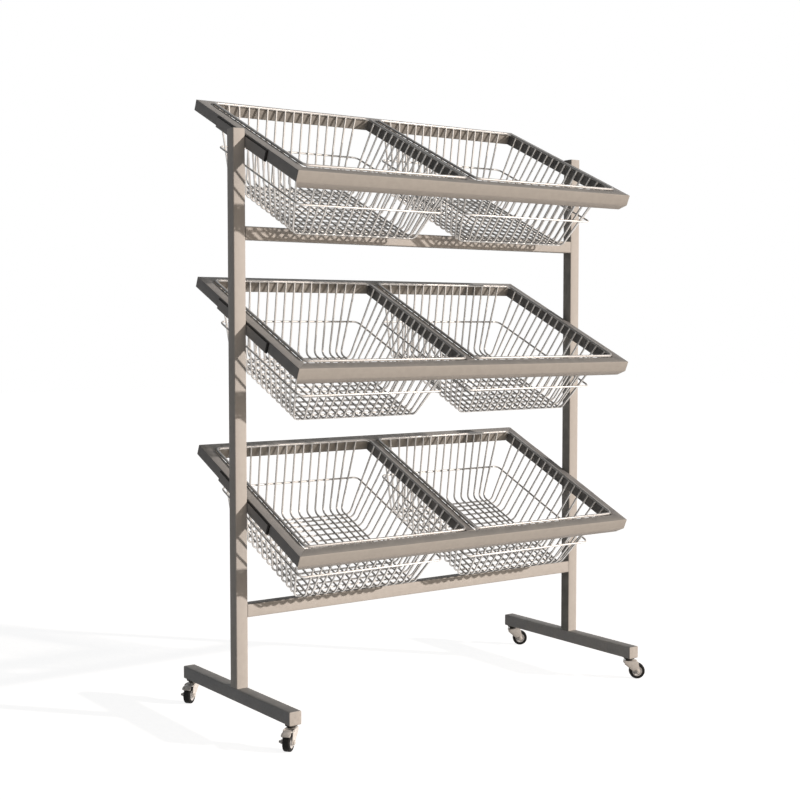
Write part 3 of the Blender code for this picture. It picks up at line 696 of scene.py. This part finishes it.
def bend_wire(bm, corners, diameter, setback, closed=False):
    """A round wire through corners, bent at each one; a closed wire starts halfway along its last run."""
    stops = [Vector(corner) for corner in corners]
    if closed:
        middle = (stops[0] + stops[-1]) / 2
        stops = [middle, *stops, middle]
    at, heading = stops[0], (stops[1] - stops[0]).normalized()
    facing = Matrix.Translation(at) @ heading.to_track_quat("Z", "Y").to_matrix().to_4x4()
    start = bmesh.ops.create_circle(bm, segments=WIRE_SIDES, radius=diameter / 2, cap_ends=not closed,
                                    matrix=facing)["verts"]
    ring = list({edge for vert in start for edge in vert.link_edges})
    for corner, beyond in zip(stops[1:-1], stops[2:]):
        after = (beyond - corner).normalized()
        bend = corner - heading * setback
        ring = push(bm, ring, bend - at)
        ring = turn_wire(bm, ring, bend, heading, after, setback)
        at, heading = corner + after * setback, after
    ring = push(bm, ring, stops[-1] - at)
    if not closed:
        bmesh.ops.edgeloop_fill(bm, edges=ring)


# %% [markdown]
# The walls lean: the mouth is wider than the floor. Most wires of a wall still run straight down, side by
# side. Only the outer ones lean: they spread at the rim and draw in at the floor, which a high power of a
# wire's place gives in one line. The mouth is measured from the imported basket. The floor, the pitch of the
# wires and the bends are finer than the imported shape, so they are sizes of their own.

# %% Sizes of the basket
RIM_WIRE = 0.0064
WALL_WIRE = 0.0048
RIM_CORNER = 0.0131
RIM_LIFT = 0.0003
WIRE_INSET = 0.0008
FLOOR_WIDTH = 0.338
FLOOR_DEPTH = 0.344
FLOOR_BEND = 0.012
WIRES_EACH_SIDE = 7
CROSSWISE_PITCH = 0.025
CROSSWISE_LAST = 0.193
LENGTHWISE_PITCH = 0.0245
LENGTHWISE_LAST = 0.181
OUTER_LEAN = 4
HOOP_DROP = 0.093
HOOP_CORNER = 0.014

basket_low, basket_high = box_in("bottom_left_basket", tiers["bottom"])
rim_x = (basket_high.x - basket_low.x) / 2 - RIM_WIRE / 2
rim_y = (basket_high.y - basket_low.y) / 2 - RIM_WIRE / 2
rim_z = RIM_LIFT + RIM_WIRE / 2
lower_layer = basket_low.z + WALL_WIRE / 2
upper_layer = lower_layer + WALL_WIRE


def wire_places(pitch, last_at_rim, floor):
    """(place along the rim, place on the floor) of each wire of one set."""
    last = WIRES_EACH_SIDE * pitch
    last_on_floor = floor / 2 - FLOOR_BEND - WALL_WIRE
    places = []
    for step in range(-WIRES_EACH_SIDE, WIRES_EACH_SIDE + 1):
        lean = math.copysign(abs(step / WIRES_EACH_SIDE) ** OUTER_LEAN, step)
        at_rim = step * pitch + lean * (last_at_rim - last)
        on_floor = step * pitch + lean * (last_on_floor - last)
        places.append((at_rim, on_floor))
    return places


crosswise = wire_places(CROSSWISE_PITCH, CROSSWISE_LAST, FLOOR_DEPTH)
lengthwise = wire_places(LENGTHWISE_PITCH, LENGTHWISE_LAST, FLOOR_WIDTH)
print("rim, mm:", round(2000 * rim_x), "x", round(2000 * rim_y), "depth", round(-1000 * basket_low.z))

# %% [markdown]
# Resistance welding leaves a small nugget wherever two wires cross. There are hundreds, so each is an
# icosphere of twenty faces: enough to catch the light at the crossing, and cheap.

# %% One basket, made about the middle of its mouth
NUGGET = 0.0028
MERGE_WITHIN = 1e-5
AS_DRAWN = Matrix.Identity(3)
X_AND_Y_SWAPPED = Matrix(((0, 1, 0), (1, 0, 0), (0, 0, 1)))


def nugget(bm, place):
    bmesh.ops.create_icosphere(bm, subdivisions=1, radius=NUGGET, matrix=Matrix.Translation(place))


def at_hoop(top, low, layer):
    """Where a wire or wall that leans from the rim to a layer of the floor passes the hoop."""
    return top + (low - top) * -HOOP_DROP / layer


def wire_set(bm, places, mouth, floor_half, layer, way):
    """Wires from rim to rim with nuggets at rim and hoop; returns how far out the hoop lies."""
    hoop = at_hoop(mouth, floor_half, layer) + WALL_WIRE
    for top, low in places:
        path = [(mouth, top, rim_z), (floor_half, low, layer), (-floor_half, low, layer),
                (-mouth, top, rim_z)]
        bend_wire(bm, [way @ Vector(corner) for corner in path], WALL_WIRE, FLOOR_BEND)
        for side in (-1, 1):
            nugget(bm, way @ Vector((side * mouth, top, RIM_LIFT)))
            weld = (side * (hoop - WALL_WIRE / 2), at_hoop(top, low, layer), -HOOP_DROP)
            nugget(bm, way @ Vector(weld))
    return hoop


def loop_wire(bm, half_x, half_y, height, diameter, setback):
    """A closed wire round the basket."""
    corners = [(half_x, half_y, height), (-half_x, half_y, height), (-half_x, -half_y, height),
               (half_x, -half_y, height)]
    bend_wire(bm, corners, diameter, setback, closed=True)


def basket_mesh():
    """Both sets of wires, a nugget at each crossing of the floor, the hoop, and the rim."""
    bm = bmesh.new()
    hoop_x = wire_set(bm, crosswise, rim_x - WIRE_INSET, FLOOR_WIDTH / 2, lower_layer, AS_DRAWN)
    hoop_y = wire_set(bm, lengthwise, rim_y - WIRE_INSET, FLOOR_DEPTH / 2, upper_layer, X_AND_Y_SWAPPED)
    for _, x in lengthwise:
        for _, y in crosswise:
            nugget(bm, (x, y, (lower_layer + upper_layer) / 2))
    loop_wire(bm, hoop_x, hoop_y, -HOOP_DROP, WALL_WIRE, HOOP_CORNER)
    walls = set(bm.faces)
    loop_wire(bm, rim_x, rim_y, rim_z, RIM_WIRE, RIM_CORNER)
    for face in set(bm.faces) - walls:
        face.material_index = SECOND_MATERIAL
    bmesh.ops.remove_doubles(bm, verts=bm.verts, dist=MERGE_WITHIN)
    return to_mesh(bm, "basket")


pattern = basket_mesh()
print("one basket:", len(pattern.polygons), "faces")

# %% [markdown]
# The wire looks like bright plated steel, so a part of what it shows is the white room: only here is the
# finish partly metallic. A painted highlight lies on its front and underside and painted shade on the side
# turned to the left. The rim has a greyer copy of the finish, which is painted shade. All six baskets are
# copies of the one mesh, each moved to its own frame.

# %% Six baskets
WIRE_COLOUR = (0.68, 0.67, 0.65, 1)
WIRE_STREAK = (0.60, 0.59, 0.575, 1)
# The rim takes a greyer copy of the wire colour: painted shade.
RIM_SHADED = (0.42, 0.41, 0.40, 1)
RIM_SHADED_STREAK = (0.375, 0.37, 0.36, 1)
# Painted shade on the side of each wire turned to the left, and a painted highlight on its front and
# underside.
WIRE_PAINTED_SHADE = (0.20, 0.198, 0.195, 1)
WIRE_PAINTED_HIGHLIGHT = (0.98, 0.97, 0.95, 1)
PAINTED_SHADE_WAY = (-1.0, 0.3, 0.45)
PAINTED_HIGHLIGHT_WAY = (0, -0.6, -1.25)


def wire_finish(name, colour, streak_colour):
    return metal(name, colour, streak_colour, ALONG_Z, turn=tilt, roughness=(0.30, 0.42), specular=0.2,
                 metallic=0.48, lines_scale=500.0,
                 painted_light_faces=[(PAINTED_HIGHLIGHT_WAY, WIRE_PAINTED_HIGHLIGHT), (PAINTED_SHADE_WAY, WIRE_PAINTED_SHADE)])


wire_steel = wire_finish("plated_wire", WIRE_COLOUR, WIRE_STREAK)
# The rim's finish is the wire finish darkened as painted shade.
shaded_rim_steel = wire_finish("worn_rim_wire", RIM_SHADED, RIM_SHADED_STREAK)
for tier in TIERS:
    for hand in HANDS:
        node = f"{tier}_{hand}_basket"
        low, high = box_in(node, tiers[tier])
        mesh = pattern.copy()
        mesh.transform(tiers[tier] @ Matrix.Translation(((low.x + high.x) / 2, (low.y + high.y) / 2, 0)))
        show(mesh, node, "_wires", wire_steel, shaded_rim_steel)
bpy.data.meshes.remove(pattern)
print("baskets:", made("_wires"))

# %% [markdown]
# ## Casters
#
# Each caster trails: its wheel runs a little to one side of the swivel. The swivel and roll joints give
# both points, so one set of axes, with X along the trail, serves all the pieces of a caster.

# %% The axes of the four casters
CASTERS = [f"{end}_{hand}" for end in ("front", "rear") for hand in HANDS]


def caster_axes(name):
    """Axes on the floor below a caster's swivel, with X towards its wheel."""
    pivot, wheel = (Vector(joints[name + joint]["pos_m"]) for joint in ("_swivel", "_roll"))
    trail = wheel - pivot
    heading = Matrix.Rotation(math.atan2(trail.y, trail.x), 4, "Z")
    return Matrix.Translation((pivot.x, pivot.y, 0)) @ heading


caster_place = {name: caster_axes(name) for name in CASTERS}
sample = CASTERS[0]
wheel_at = caster_place[sample].inverted() @ Vector(joints[sample + "_roll"]["pos_m"])
print("trail and axle height, mm:", round(1000 * wheel_at.x, 1), round(1000 * wheel_at.z, 1))

# %% [markdown]
# Mount, hub and tyre are turned shapes. Each is half a section, a few points on one side of the axis,
# spun once round. The mount stands along Z, and the wheel's pieces are then laid over to lie along Y.

# %% Turned pieces
TURN_STEPS = 48


def turned(profile, closed=False):
    """A shape spun about Z from (radius, height) points."""
    bm = bmesh.new()
    verts = [bm.verts.new((radius, 0, height)) for radius, height in profile]
    pairs = list(zip(verts, verts[1:])) + ([(verts[-1], verts[0])] if closed else [])
    edges = [bm.edges.new(pair) for pair in pairs]
    bmesh.ops.spin(bm, geom=verts + edges, cent=(0, 0, 0), axis=(0, 0, 1), angle=math.tau,
                   steps=TURN_STEPS, use_merge=True)
    bmesh.ops.remove_doubles(bm, verts=bm.verts, dist=MERGE_WITHIN)
    return bm


# %% Mounts
MOUNT_PAINT = (0.045, 0.044, 0.043, 1)
MOUNT_STREAK = (0.055, 0.054, 0.052, 1)
MOUNT_WORN = (0.22, 0.21, 0.20, 1)
MOUNT_EDGE = 0.0006
DISC = 0.003
BOSS_RADIUS = 0.009
PIN_RADIUS = 0.005
HEAD_RADIUS = 0.007
HEAD = 0.0017
BOSS = 0.0047


def mount_shape(low, high):
    """The disc under a foot, the race below it, and the king pin with its riveted head."""
    disc = (high.x - low.x) / 2
    disc_low = high.z - DISC
    boss_low = disc_low - BOSS
    head_top = low.z + HEAD
    waist = (disc_low + boss_low) / 2
    return turned([
        (0, high.z), (disc - MOUNT_EDGE, high.z), (disc, high.z - MOUNT_EDGE),
        (disc, disc_low + MOUNT_EDGE), (disc - MOUNT_EDGE, disc_low), (BOSS_RADIUS, disc_low),
        (BOSS_RADIUS - 2 * MOUNT_EDGE, waist), (BOSS_RADIUS, boss_low + MOUNT_EDGE),
        (BOSS_RADIUS - MOUNT_EDGE, boss_low), (PIN_RADIUS, boss_low), (PIN_RADIUS, head_top),
        (HEAD_RADIUS, head_top), (HEAD_RADIUS - MOUNT_EDGE, low.z), (0, low.z)])


mount_paint = metal("dark_mount_paint", MOUNT_PAINT, MOUNT_STREAK, ALONG_Z, roughness=(0.38, 0.55),
                    edge_colour=MOUNT_WORN, dust=0.5)
for name, place in caster_place.items():
    node = name + "_caster_mount"
    mount = mount_shape(*box_in(node, place))
    show(to_mesh(mount, node, place), node, "_race", mount_paint)
print("mounts:", made("_race"))

# %% [markdown]
# The tyre starts as a ring with four corners, and a bevel of its two outer edges rounds the shoulders, as a
# moulded tyre's are. The hub is moulded too: a rim, a web that is sunk between rim and boss, and a boss
# that runs on the axle.

# %% Shapes of tyre and hub
TYRE_SHOULDER = 0.0036
HUB_EDGE = 0.0005
WEB_DEPTH = 0.0022
BOSS_HALF = 0.006
RIM_BAND = 0.0022
AXLE_BORE = 0.0033


def ring_at(bm, radius, height):
    """The edges of one circle of a turned shape."""
    found = []
    for edge in bm.edges:
        near = [abs(math.hypot(vert.co.x, vert.co.y) - radius) < MERGE_WITHIN
                and abs(vert.co.z - height) < MERGE_WITHIN for vert in edge.verts]
        if all(near):
            found.append(edge)
    return found


def tyre_shape(inner, outer, half):
    """A tyre between two radii and two faces."""
    bm = turned([(inner, -half), (outer, -half), (outer, half), (inner, half)], closed=True)
    for side in (-half, half):
        bevel(bm, ring_at(bm, outer, side), TYRE_SHOULDER, segments=6)
        bevel(bm, ring_at(bm, inner, side), HUB_EDGE, segments=2)
    return bm


def hub_shape(outer, boss_end, rim_end):
    """A hub with its boss and rim standing out from a sunk web on both sides."""
    web = rim_end - WEB_DEPTH
    band = outer - RIM_BAND
    half = [(AXLE_BORE, boss_end), (BOSS_HALF - HUB_EDGE, boss_end), (BOSS_HALF, boss_end - HUB_EDGE),
            (BOSS_HALF + HUB_EDGE, web), (band - HUB_EDGE, web), (band, rim_end - HUB_EDGE),
            (band + HUB_EDGE, rim_end), (outer, rim_end)]
    return turned(half + [(radius, -height) for radius, height in half[::-1]], closed=True)


# %% [markdown]
# Rubber is nearly black, matt, and greyer where it has picked up dust. The hub is a pale grey plastic with
# a fine moulded texture. Both are plain mixes of noise, because neither has a direction.

# %% Rubber and moulded plastic
RUBBER_COLOUR = (0.010, 0.010, 0.010, 1)
RUBBER_PATCH = (0.016, 0.016, 0.015, 1)
HUB_COLOUR = (0.82, 0.83, 0.84, 1)
HUB_PATCH = (0.76, 0.77, 0.78, 1)
MOULDED_GLOSS = 0.15
MOULDED_BUMP = 0.25
PATCH_SCALE = 60.0
PATCH_ROUGHER = 0.1


def moulded(name, colour, patch_colour, roughness, texture_scale, depth, dust):
    """A moulded finish: soft patches of colour, a fine bump, and floor dust."""
    material, tree, shader = new_material(name)
    place = put(tree, "TexCoord").outputs["Object"]
    marks = put(tree, "Group", {"Vector": place, "Scale": PATCH_SCALE}, node_tree=handled).outputs["Mask"]
    shade = blend_colours(tree, marks, colour, patch_colour)
    grain = noise(tree, place, texture_scale, Detail=4.0)
    bump = put(tree, "Bump", {"Height": grain, "Strength": MOULDED_BUMP, "Distance": depth})
    feed(tree, shader, {"Base Color": settle_dust(tree, place, shade, dust),
                        "Roughness": remap(tree, marks, 0.0, 1.0, roughness, roughness + PATCH_ROUGHER),
                        "Normal": bump.outputs["Normal"], "Specular IOR Level": MOULDED_GLOSS})
    return material


rubber = moulded("tyre_rubber", RUBBER_COLOUR, RUBBER_PATCH, roughness=0.62, texture_scale=900.0,
                 depth=0.0003, dust=0.08)
hub_plastic = moulded("hub_plastic", HUB_COLOUR, HUB_PATCH, roughness=0.42, texture_scale=1400.0,
                      depth=0.0001, dust=0.15)
print("moulded:", rubber.name, "and", hub_plastic.name)

# %% Four wheels
LAID_OVER = Matrix.Rotation(math.pi / 2, 4, "X")
to_axle = Matrix.Translation(wheel_at) @ LAID_OVER
axle_place = {name: place @ to_axle for name, place in caster_place.items()}
for name, place in axle_place.items():
    hub_node, tyre_node = name + "_hub", name + "_tyre"
    hub_high = box_in(hub_node, place)[1]
    tyre_half = box_in(tyre_node, place)[1].z
    hub_radius = min(hub_high.x, hub_high.y)
    tyre = tyre_shape(hub_radius, wheel_at.z, tyre_half)
    hub = hub_shape(hub_radius, hub_high.z, tyre_half - HUB_EDGE)
    show(to_mesh(tyre, tyre_node, place), tyre_node, "_tread", rubber)
    show(to_mesh(hub, hub_node, place), hub_node, "_disc", hub_plastic)
print("wheel:", round(2000 * wheel_at.z, 1), "x", round(2000 * tyre_half, 1), "mm")

# %% [markdown]
# ## Forks, bolts and pedals
#
# A fork is one strip of steel pressed into a crown and two legs. Each leg is wide under the crown and round
# about the axle. Drawing that outline point by point is slow, so discs are set where the outline is round
# and a convex hull wraps them, like a band round pegs. Booleans then weld crown and legs into one closed
# shape and drill it for the king pin and, on a braked caster, for the pedal's pin.

# %% Joining, drilling and pins
DISC_SIDES = 28
SHARP_ABOVE = 1.0


def combine(name, base, steps):
    """One closed mesh: other meshes joined to a base or cut from it, in order."""
    body = bpy.data.objects.new(name, base)
    helpers = [bpy.data.objects.new(name + "_tool", mesh) for _, mesh in steps]
    for helper in [body, *helpers]:
        scene.collection.objects.link(helper)
    for (operation, _), helper in zip(steps, helpers):
        modifier = body.modifiers.new(operation, "BOOLEAN")
        modifier.operation = operation
        modifier.object = helper
    mesh = bpy.data.meshes.new_from_object(body.evaluated_get(bpy.context.evaluated_depsgraph_get()))
    for helper in [body, *helpers]:
        bpy.data.objects.remove(helper)
    return mesh


def sharp_edges(bm):
    return [edge for edge in bm.edges if edge.calc_face_angle(0) > SHARP_ABOVE]


def prism(radius, depth, place, sides=DISC_SIDES):
    """A round or many-sided bar about the middle of a placing matrix."""
    bm = bmesh.new()
    bmesh.ops.create_cone(bm, cap_ends=True, segments=sides, radius1=radius, radius2=radius, depth=depth,
                          matrix=place)
    return bm


# %% Pressed forks
FORK_SHEET = 0.002
SHEET_EDGE = 0.0004
RUNNING_GAP = 0.0003
PEDAL_PIN = 0.0018
LEG_END = 0.007
LEG_CORNER = 0.003
LEG_REAR = 0.006
LEG_FRONT = 0.022
CROWN_FRONT = 0.008
FLAT_WITHIN = math.radians(1)


def leg_mesh(low, high, inside, outside):
    """A fork leg between two distances from the wheel's middle plane."""
    bm = bmesh.new()
    pegs = [(wheel_at.x, wheel_at.z, LEG_END), (LEG_FRONT - LEG_CORNER, high.z - LEG_CORNER, LEG_CORNER),
            (low.x + LEG_CORNER, high.z - LEG_CORNER, LEG_CORNER),
            (low.x + LEG_CORNER, high.z - LEG_REAR, LEG_CORNER)]
    for x, z, radius in pegs:
        for y in (inside, outside):
            bmesh.ops.create_circle(bm, segments=DISC_SIDES, radius=radius,
                                    matrix=Matrix.Translation((x, y, z)) @ LAID_OVER)
    wrapped = bmesh.ops.convex_hull(bm, input=bm.verts)
    bmesh.ops.delete(bm, geom=verts_of(wrapped["geom_interior"]), context="VERTS")
    bmesh.ops.dissolve_limit(bm, angle_limit=FLAT_WITHIN, verts=bm.verts, edges=bm.edges)
    bevel(bm, sharp_edges(bm), SHEET_EDGE, segments=2)
    return to_mesh(bm, "leg")


def fork_mesh(low, high, pedal_at):
    """Crown and legs, drilled for the king pin and for a pedal's pin where there is one."""
    outside = high.y
    inside = outside - FORK_SHEET
    crown_low = Vector((low.x, low.y, high.z - FORK_SHEET))
    crown = bar(crown_low, Vector((CROWN_FRONT, high.y, high.z)), ALONG_X, SHEET_EDGE, segments=2)
    drill = prism(PIN_RADIUS + RUNNING_GAP, 4 * FORK_SHEET, Matrix.Translation((0, 0, high.z)))
    steps = [("UNION", leg_mesh(low, high, inside, outside)),
             ("UNION", leg_mesh(low, high, -outside, -inside)), ("DIFFERENCE", to_mesh(drill, "drill"))]
    if pedal_at is not None:
        across = Matrix.Translation(pedal_at) @ LAID_OVER
        drill = prism(PEDAL_PIN + RUNNING_GAP, 4 * outside, across)
        steps.append(("DIFFERENCE", to_mesh(drill, "drill")))
    return combine("fork", to_mesh(crown, "crown"), steps)


# %% Zinc sheet, and the four forks
ZINC_COLOUR = (0.88, 0.855, 0.815, 1)
ZINC_STREAK = (0.80, 0.78, 0.745, 1)

zinc = metal("zinc_sheet", ZINC_COLOUR, ZINC_STREAK, ALONG_X, roughness=(0.28, 0.42), specular=0.25,
             dust=0.25, lines_scale=700.0)
pedals = {}
for name, place in caster_place.items():
    node = name + "_caster_fork"
    pedal_at = None
    if name + "_brake" in joints:
        pedal_at = place.inverted() @ Vector(joints[name + "_brake"]["pos_m"])
        pedals[name] = pedal_at
    mesh = fork_mesh(*box_in(node, place), pedal_at)
    mesh.transform(place)
    show(mesh, node, "_pressing", zinc)
print("forks:", made("_pressing"), "braked:", list(pedals))

# %% [markdown]
# The axle is a bolt. Its shank is turned, with grooves for the thread that shows past the nut. Head and nut
# are six-sided prisms with their edges bevelled, joined to the shank.

# %% Axle bolts
SHANK = 0.003
HEX_RADIUS = 0.005
HEAD_HEIGHT = 0.0025
NUT_HEIGHT = 0.0045
HEX_EDGE = 0.0003
THREAD_PITCH = 0.0009
THREAD_DEPTH = 0.0004


def bolt_shank(seat, tip):
    """A shank from the seat of its head to its tip, threaded past the seat of its nut."""
    profile = [(0, -seat), (SHANK, -seat)]
    height = seat
    while height + THREAD_PITCH < tip:
        profile += [(SHANK, height), (SHANK - THREAD_DEPTH, height + THREAD_PITCH / 2)]
        height += THREAD_PITCH
    profile += [(SHANK, height), (SHANK - THREAD_DEPTH, tip), (0, tip)]
    return to_mesh(turned(profile), "shank")


def hexagon(low, high):
    """A bolt's head or nut between two heights."""
    bm = prism(HEX_RADIUS, high - low, Matrix.Translation((0, 0, (low + high) / 2)), sides=6)
    bevel(bm, bm.edges[:], HEX_EDGE, segments=2)
    return to_mesh(bm, "hexagon")


for name, place in axle_place.items():
    node = name + "_axle"
    low, high = box_in(node, place)
    seat = -low.z - HEAD_HEIGHT
    ends = [("UNION", hexagon(low.z, -seat)), ("UNION", hexagon(seat, seat + NUT_HEIGHT))]
    mesh = combine("bolt", bolt_shank(seat, high.z), ends)
    mesh.transform(place)
    show(mesh, node, "_bolt", zinc)
print("axle length, mm:", round(1000 * (high.z - low.z), 1))

# %% [markdown]
# The left casters have a brake pedal: a plate over the wheel, on a pin through the fork, with a wider toe
# bent down in front of the tyre. It is made as it is pressed: a flat strip is pushed out from the heel,
# spun round the bend, and pushed on into the toe, whose end is then spread. Three ribs give the shoe grip.

# %% The bent strip of a pedal
PEDAL_SHEET = 0.0025
PEDAL_BEND = 0.0165
PEDAL_SETBACK = 0.0012
PEDAL_DROOP = math.radians(35)
TOE = 0.0115
TOE_SHOULDER = 0.003
TOE_WIDTH = 0.021
TOE_ROUND = 0.003


def spread_ring(ring, half):
    """Widen a ring of a strip to a half width."""
    for vert in {vert for edge in ring for vert in edge.verts}:
        vert.co.y = math.copysign(half, vert.co.y)


def pedal_strip(heel, half):
    """The bent strip of a pedal about its pin."""
    bm = bmesh.new()
    section = Matrix.Rotation(math.pi / 2, 4, "Y") @ Matrix.Diagonal((PEDAL_SHEET, 2 * half, 1, 1))
    corners = bmesh.ops.create_grid(bm, x_segments=1, y_segments=1, size=0.5,
                                    matrix=Matrix.Translation((heel, 0, 0)) @ section)["verts"]
    ring = list({edge for vert in corners for edge in vert.link_edges})
    ahead = Vector((1, 0, 0))
    down = Vector((math.cos(PEDAL_DROOP), 0, -math.sin(PEDAL_DROOP)))
    bend = ahead * (PEDAL_BEND - PEDAL_SETBACK)
    ring = push(bm, ring, bend - ahead * heel)
    ring = turn_wire(bm, ring, bend, ahead, down, PEDAL_SETBACK)
    ring = push(bm, ring, down * (TOE_SHOULDER - PEDAL_SETBACK))
    spread_ring(ring, TOE_WIDTH / 2)
    ring = push(bm, ring, down * (TOE - TOE_SHOULDER))
    bmesh.ops.edgeloop_fill(bm, edges=ring)
    standing = [edge for edge in ring if abs(edge.verts[0].co.y - edge.verts[1].co.y) < MERGE_WITHIN]
    bevel(bm, standing, TOE_ROUND, segments=5)
    bevel(bm, sharp_edges(bm), SHEET_EDGE, segments=2)
    return to_mesh(bm, "strip")


# %% Brake pedals
PEDAL_FIT = 0.0006
RIB_HEIGHT = 0.0005
RIB_WIDTH = 0.0012
RIB_PLACES = (0.0042, 0.0066, 0.0090)
RIB_SHARE = 0.7


def pedal_mesh(heel, half, pin_half):
    """A pedal about its pin: the strip, its pin and the ribs on its toe."""
    on_toe = Matrix.Translation((PEDAL_BEND, 0, 0)) @ Matrix.Rotation(PEDAL_DROOP, 4, "Y")
    steps = [("UNION", to_mesh(prism(PEDAL_PIN, 2 * pin_half, LAID_OVER), "pin"))]
    for x in RIB_PLACES:
        low = Vector((x - RIB_WIDTH / 2, -RIB_SHARE * half, 0))
        high = Vector((x + RIB_WIDTH / 2, RIB_SHARE * half, PEDAL_SHEET / 2 + RIB_HEIGHT))
        rib = bar(low, high, ALONG_Y, RIB_HEIGHT / 2, segments=2)
        steps.append(("UNION", to_mesh(rib, "rib", on_toe)))
    return combine("pedal", pedal_strip(heel, half), steps)


for name, pedal_at in pedals.items():
    node = name + "_brake_pedal"
    on_pin = caster_place[name] @ Matrix.Translation(pedal_at)
    low, high = box_in(node, on_pin)
    fork_high = box_in(name + "_caster_fork", on_pin)[1]
    mesh = pedal_mesh(low.x, fork_high.y - FORK_SHEET - PEDAL_FIT, high.y)
    mesh.transform(on_pin)
    show(mesh, node, "_plate", zinc)
print("pedals:", made("_pedal_plate"))

# %% [markdown]
# ## Floor and light
#
# The room is white. A white floor could be had by pouring light on it, but that would burn the steel out
# too. Instead the floor and the world show white only to camera, glossy and transmission rays, and light
# the stand with a dim neutral sky. What is left for the lamps is the stand itself: a low warm key from the
# front right, which throws the crisp shadows of rails and wires, and a broad warm fill from the front.

# %% A pale floor that keeps the shadow
FLOOR_SIDE = 30.0
FLOOR_DROP = 0.0004
FLOOR_GREY = (0.50, 0.50, 0.50, 1)
FLOOR_WHITE = (0.87, 0.87, 0.87, 1)
FLOOR_ROUGHNESS = 0.9


def seen_directly(tree):
    """1 for rays that come straight from the camera or off a shiny surface."""
    rays = put(tree, "LightPath").outputs
    shiny = calculate(tree, "MAXIMUM", rays["Is Glossy Ray"], rays["Is Transmission Ray"])
    return calculate(tree, "MAXIMUM", rays["Is Camera Ray"], shiny)


pale_floor, tree, shader = new_material("pale_floor")
feed(tree, shader, {"Base Color": FLOOR_GREY, "Roughness": FLOOR_ROUGHNESS, "Specular IOR Level": 0.0,
                    "Emission Color": FLOOR_WHITE, "Emission Strength": seen_directly(tree)})
bm = bmesh.new()
bmesh.ops.create_grid(bm, x_segments=1, y_segments=1, size=FLOOR_SIDE / 2,
                      matrix=Matrix.Translation((0, 0, -FLOOR_DROP)))
floor_mesh = bpy.data.meshes.new("floor")
bm.to_mesh(floor_mesh)
bm.free()
floor_mesh.materials.append(pale_floor)
floor = bpy.data.objects.new("floor", floor_mesh)
scene.collection.objects.link(floor)
print("floor:", FLOOR_SIDE, "m square")

# %% The white room, the key and the fill
SKY = (0.125, 0.130, 0.136, 1)
ROOM_WHITE = (1, 1, 1, 1)
KEY_FROM = Vector((0.64, -0.74, 0.285))
KEY_DISTANCE = 4.0
KEY_STRENGTH = 2.8
KEY_COLOUR = (1.0, 0.89, 0.81)
KEY_SPREAD = math.radians(1.6)
FILL_AT = Vector((0.5, -4.6, 1.1))
FILL_SIZE = 2.4
FILL_WATTS = 34.0
FILL_COLOUR = (1.0, 0.76, 0.55)

scene.view_settings.view_transform = "Standard"
world = bpy.data.worlds.new("white_room")
world.use_nodes = True
scene.world = world
tree = world.node_tree
room = blend_colours(tree, seen_directly(tree), SKY, ROOM_WHITE)
feed(tree, tree.nodes["Background"], {"Color": room})


def lamp(name, kind, colour, energy, place, towards, **settings):
    """A light at a place, shining in a direction."""
    light = bpy.data.lights.new(name, kind)
    light.color = colour
    light.energy = energy
    for setting, value in settings.items():
        setattr(light, setting, value)
    obj = bpy.data.objects.new(name, light)
    obj.matrix_world = Matrix.Translation(place) @ towards.to_track_quat("-Z", "Y").to_matrix().to_4x4()
    scene.collection.objects.link(obj)


stand_middle = (cad_low + cad_high) / 2
lamp("key", "SUN", KEY_COLOUR, KEY_STRENGTH, KEY_FROM * KEY_DISTANCE, -KEY_FROM, angle=KEY_SPREAD)
lamp("fill", "AREA", FILL_COLOUR, FILL_WATTS, FILL_AT, stand_middle - FILL_AT, size=FILL_SIZE)
print("key", round(math.degrees(math.asin(KEY_FROM.normalized().z))), "degrees above the floor")

# %% [markdown]
# ## Camera
#
# The view is from the front left, a little above the middle of the stand, with a long lens. It was found by
# matching corners of the solids to where the photo shows them.

# %% The camera
CAMERA_AT = (-2.000, -2.714, 0.906)
CAMERA_YAW = math.radians(35.64)
CAMERA_PITCH = math.radians(3.13)
CAMERA_LENS = 61.65

camera_data = bpy.data.cameras.new("camera")
camera_data.lens = CAMERA_LENS
camera = bpy.data.objects.new("camera", camera_data)
camera.location = CAMERA_AT
camera.rotation_euler = (math.pi / 2 - CAMERA_PITCH, 0, -CAMERA_YAW)
scene.collection.objects.link(camera)
scene.camera = camera
print("lens:", CAMERA_LENS, "mm")
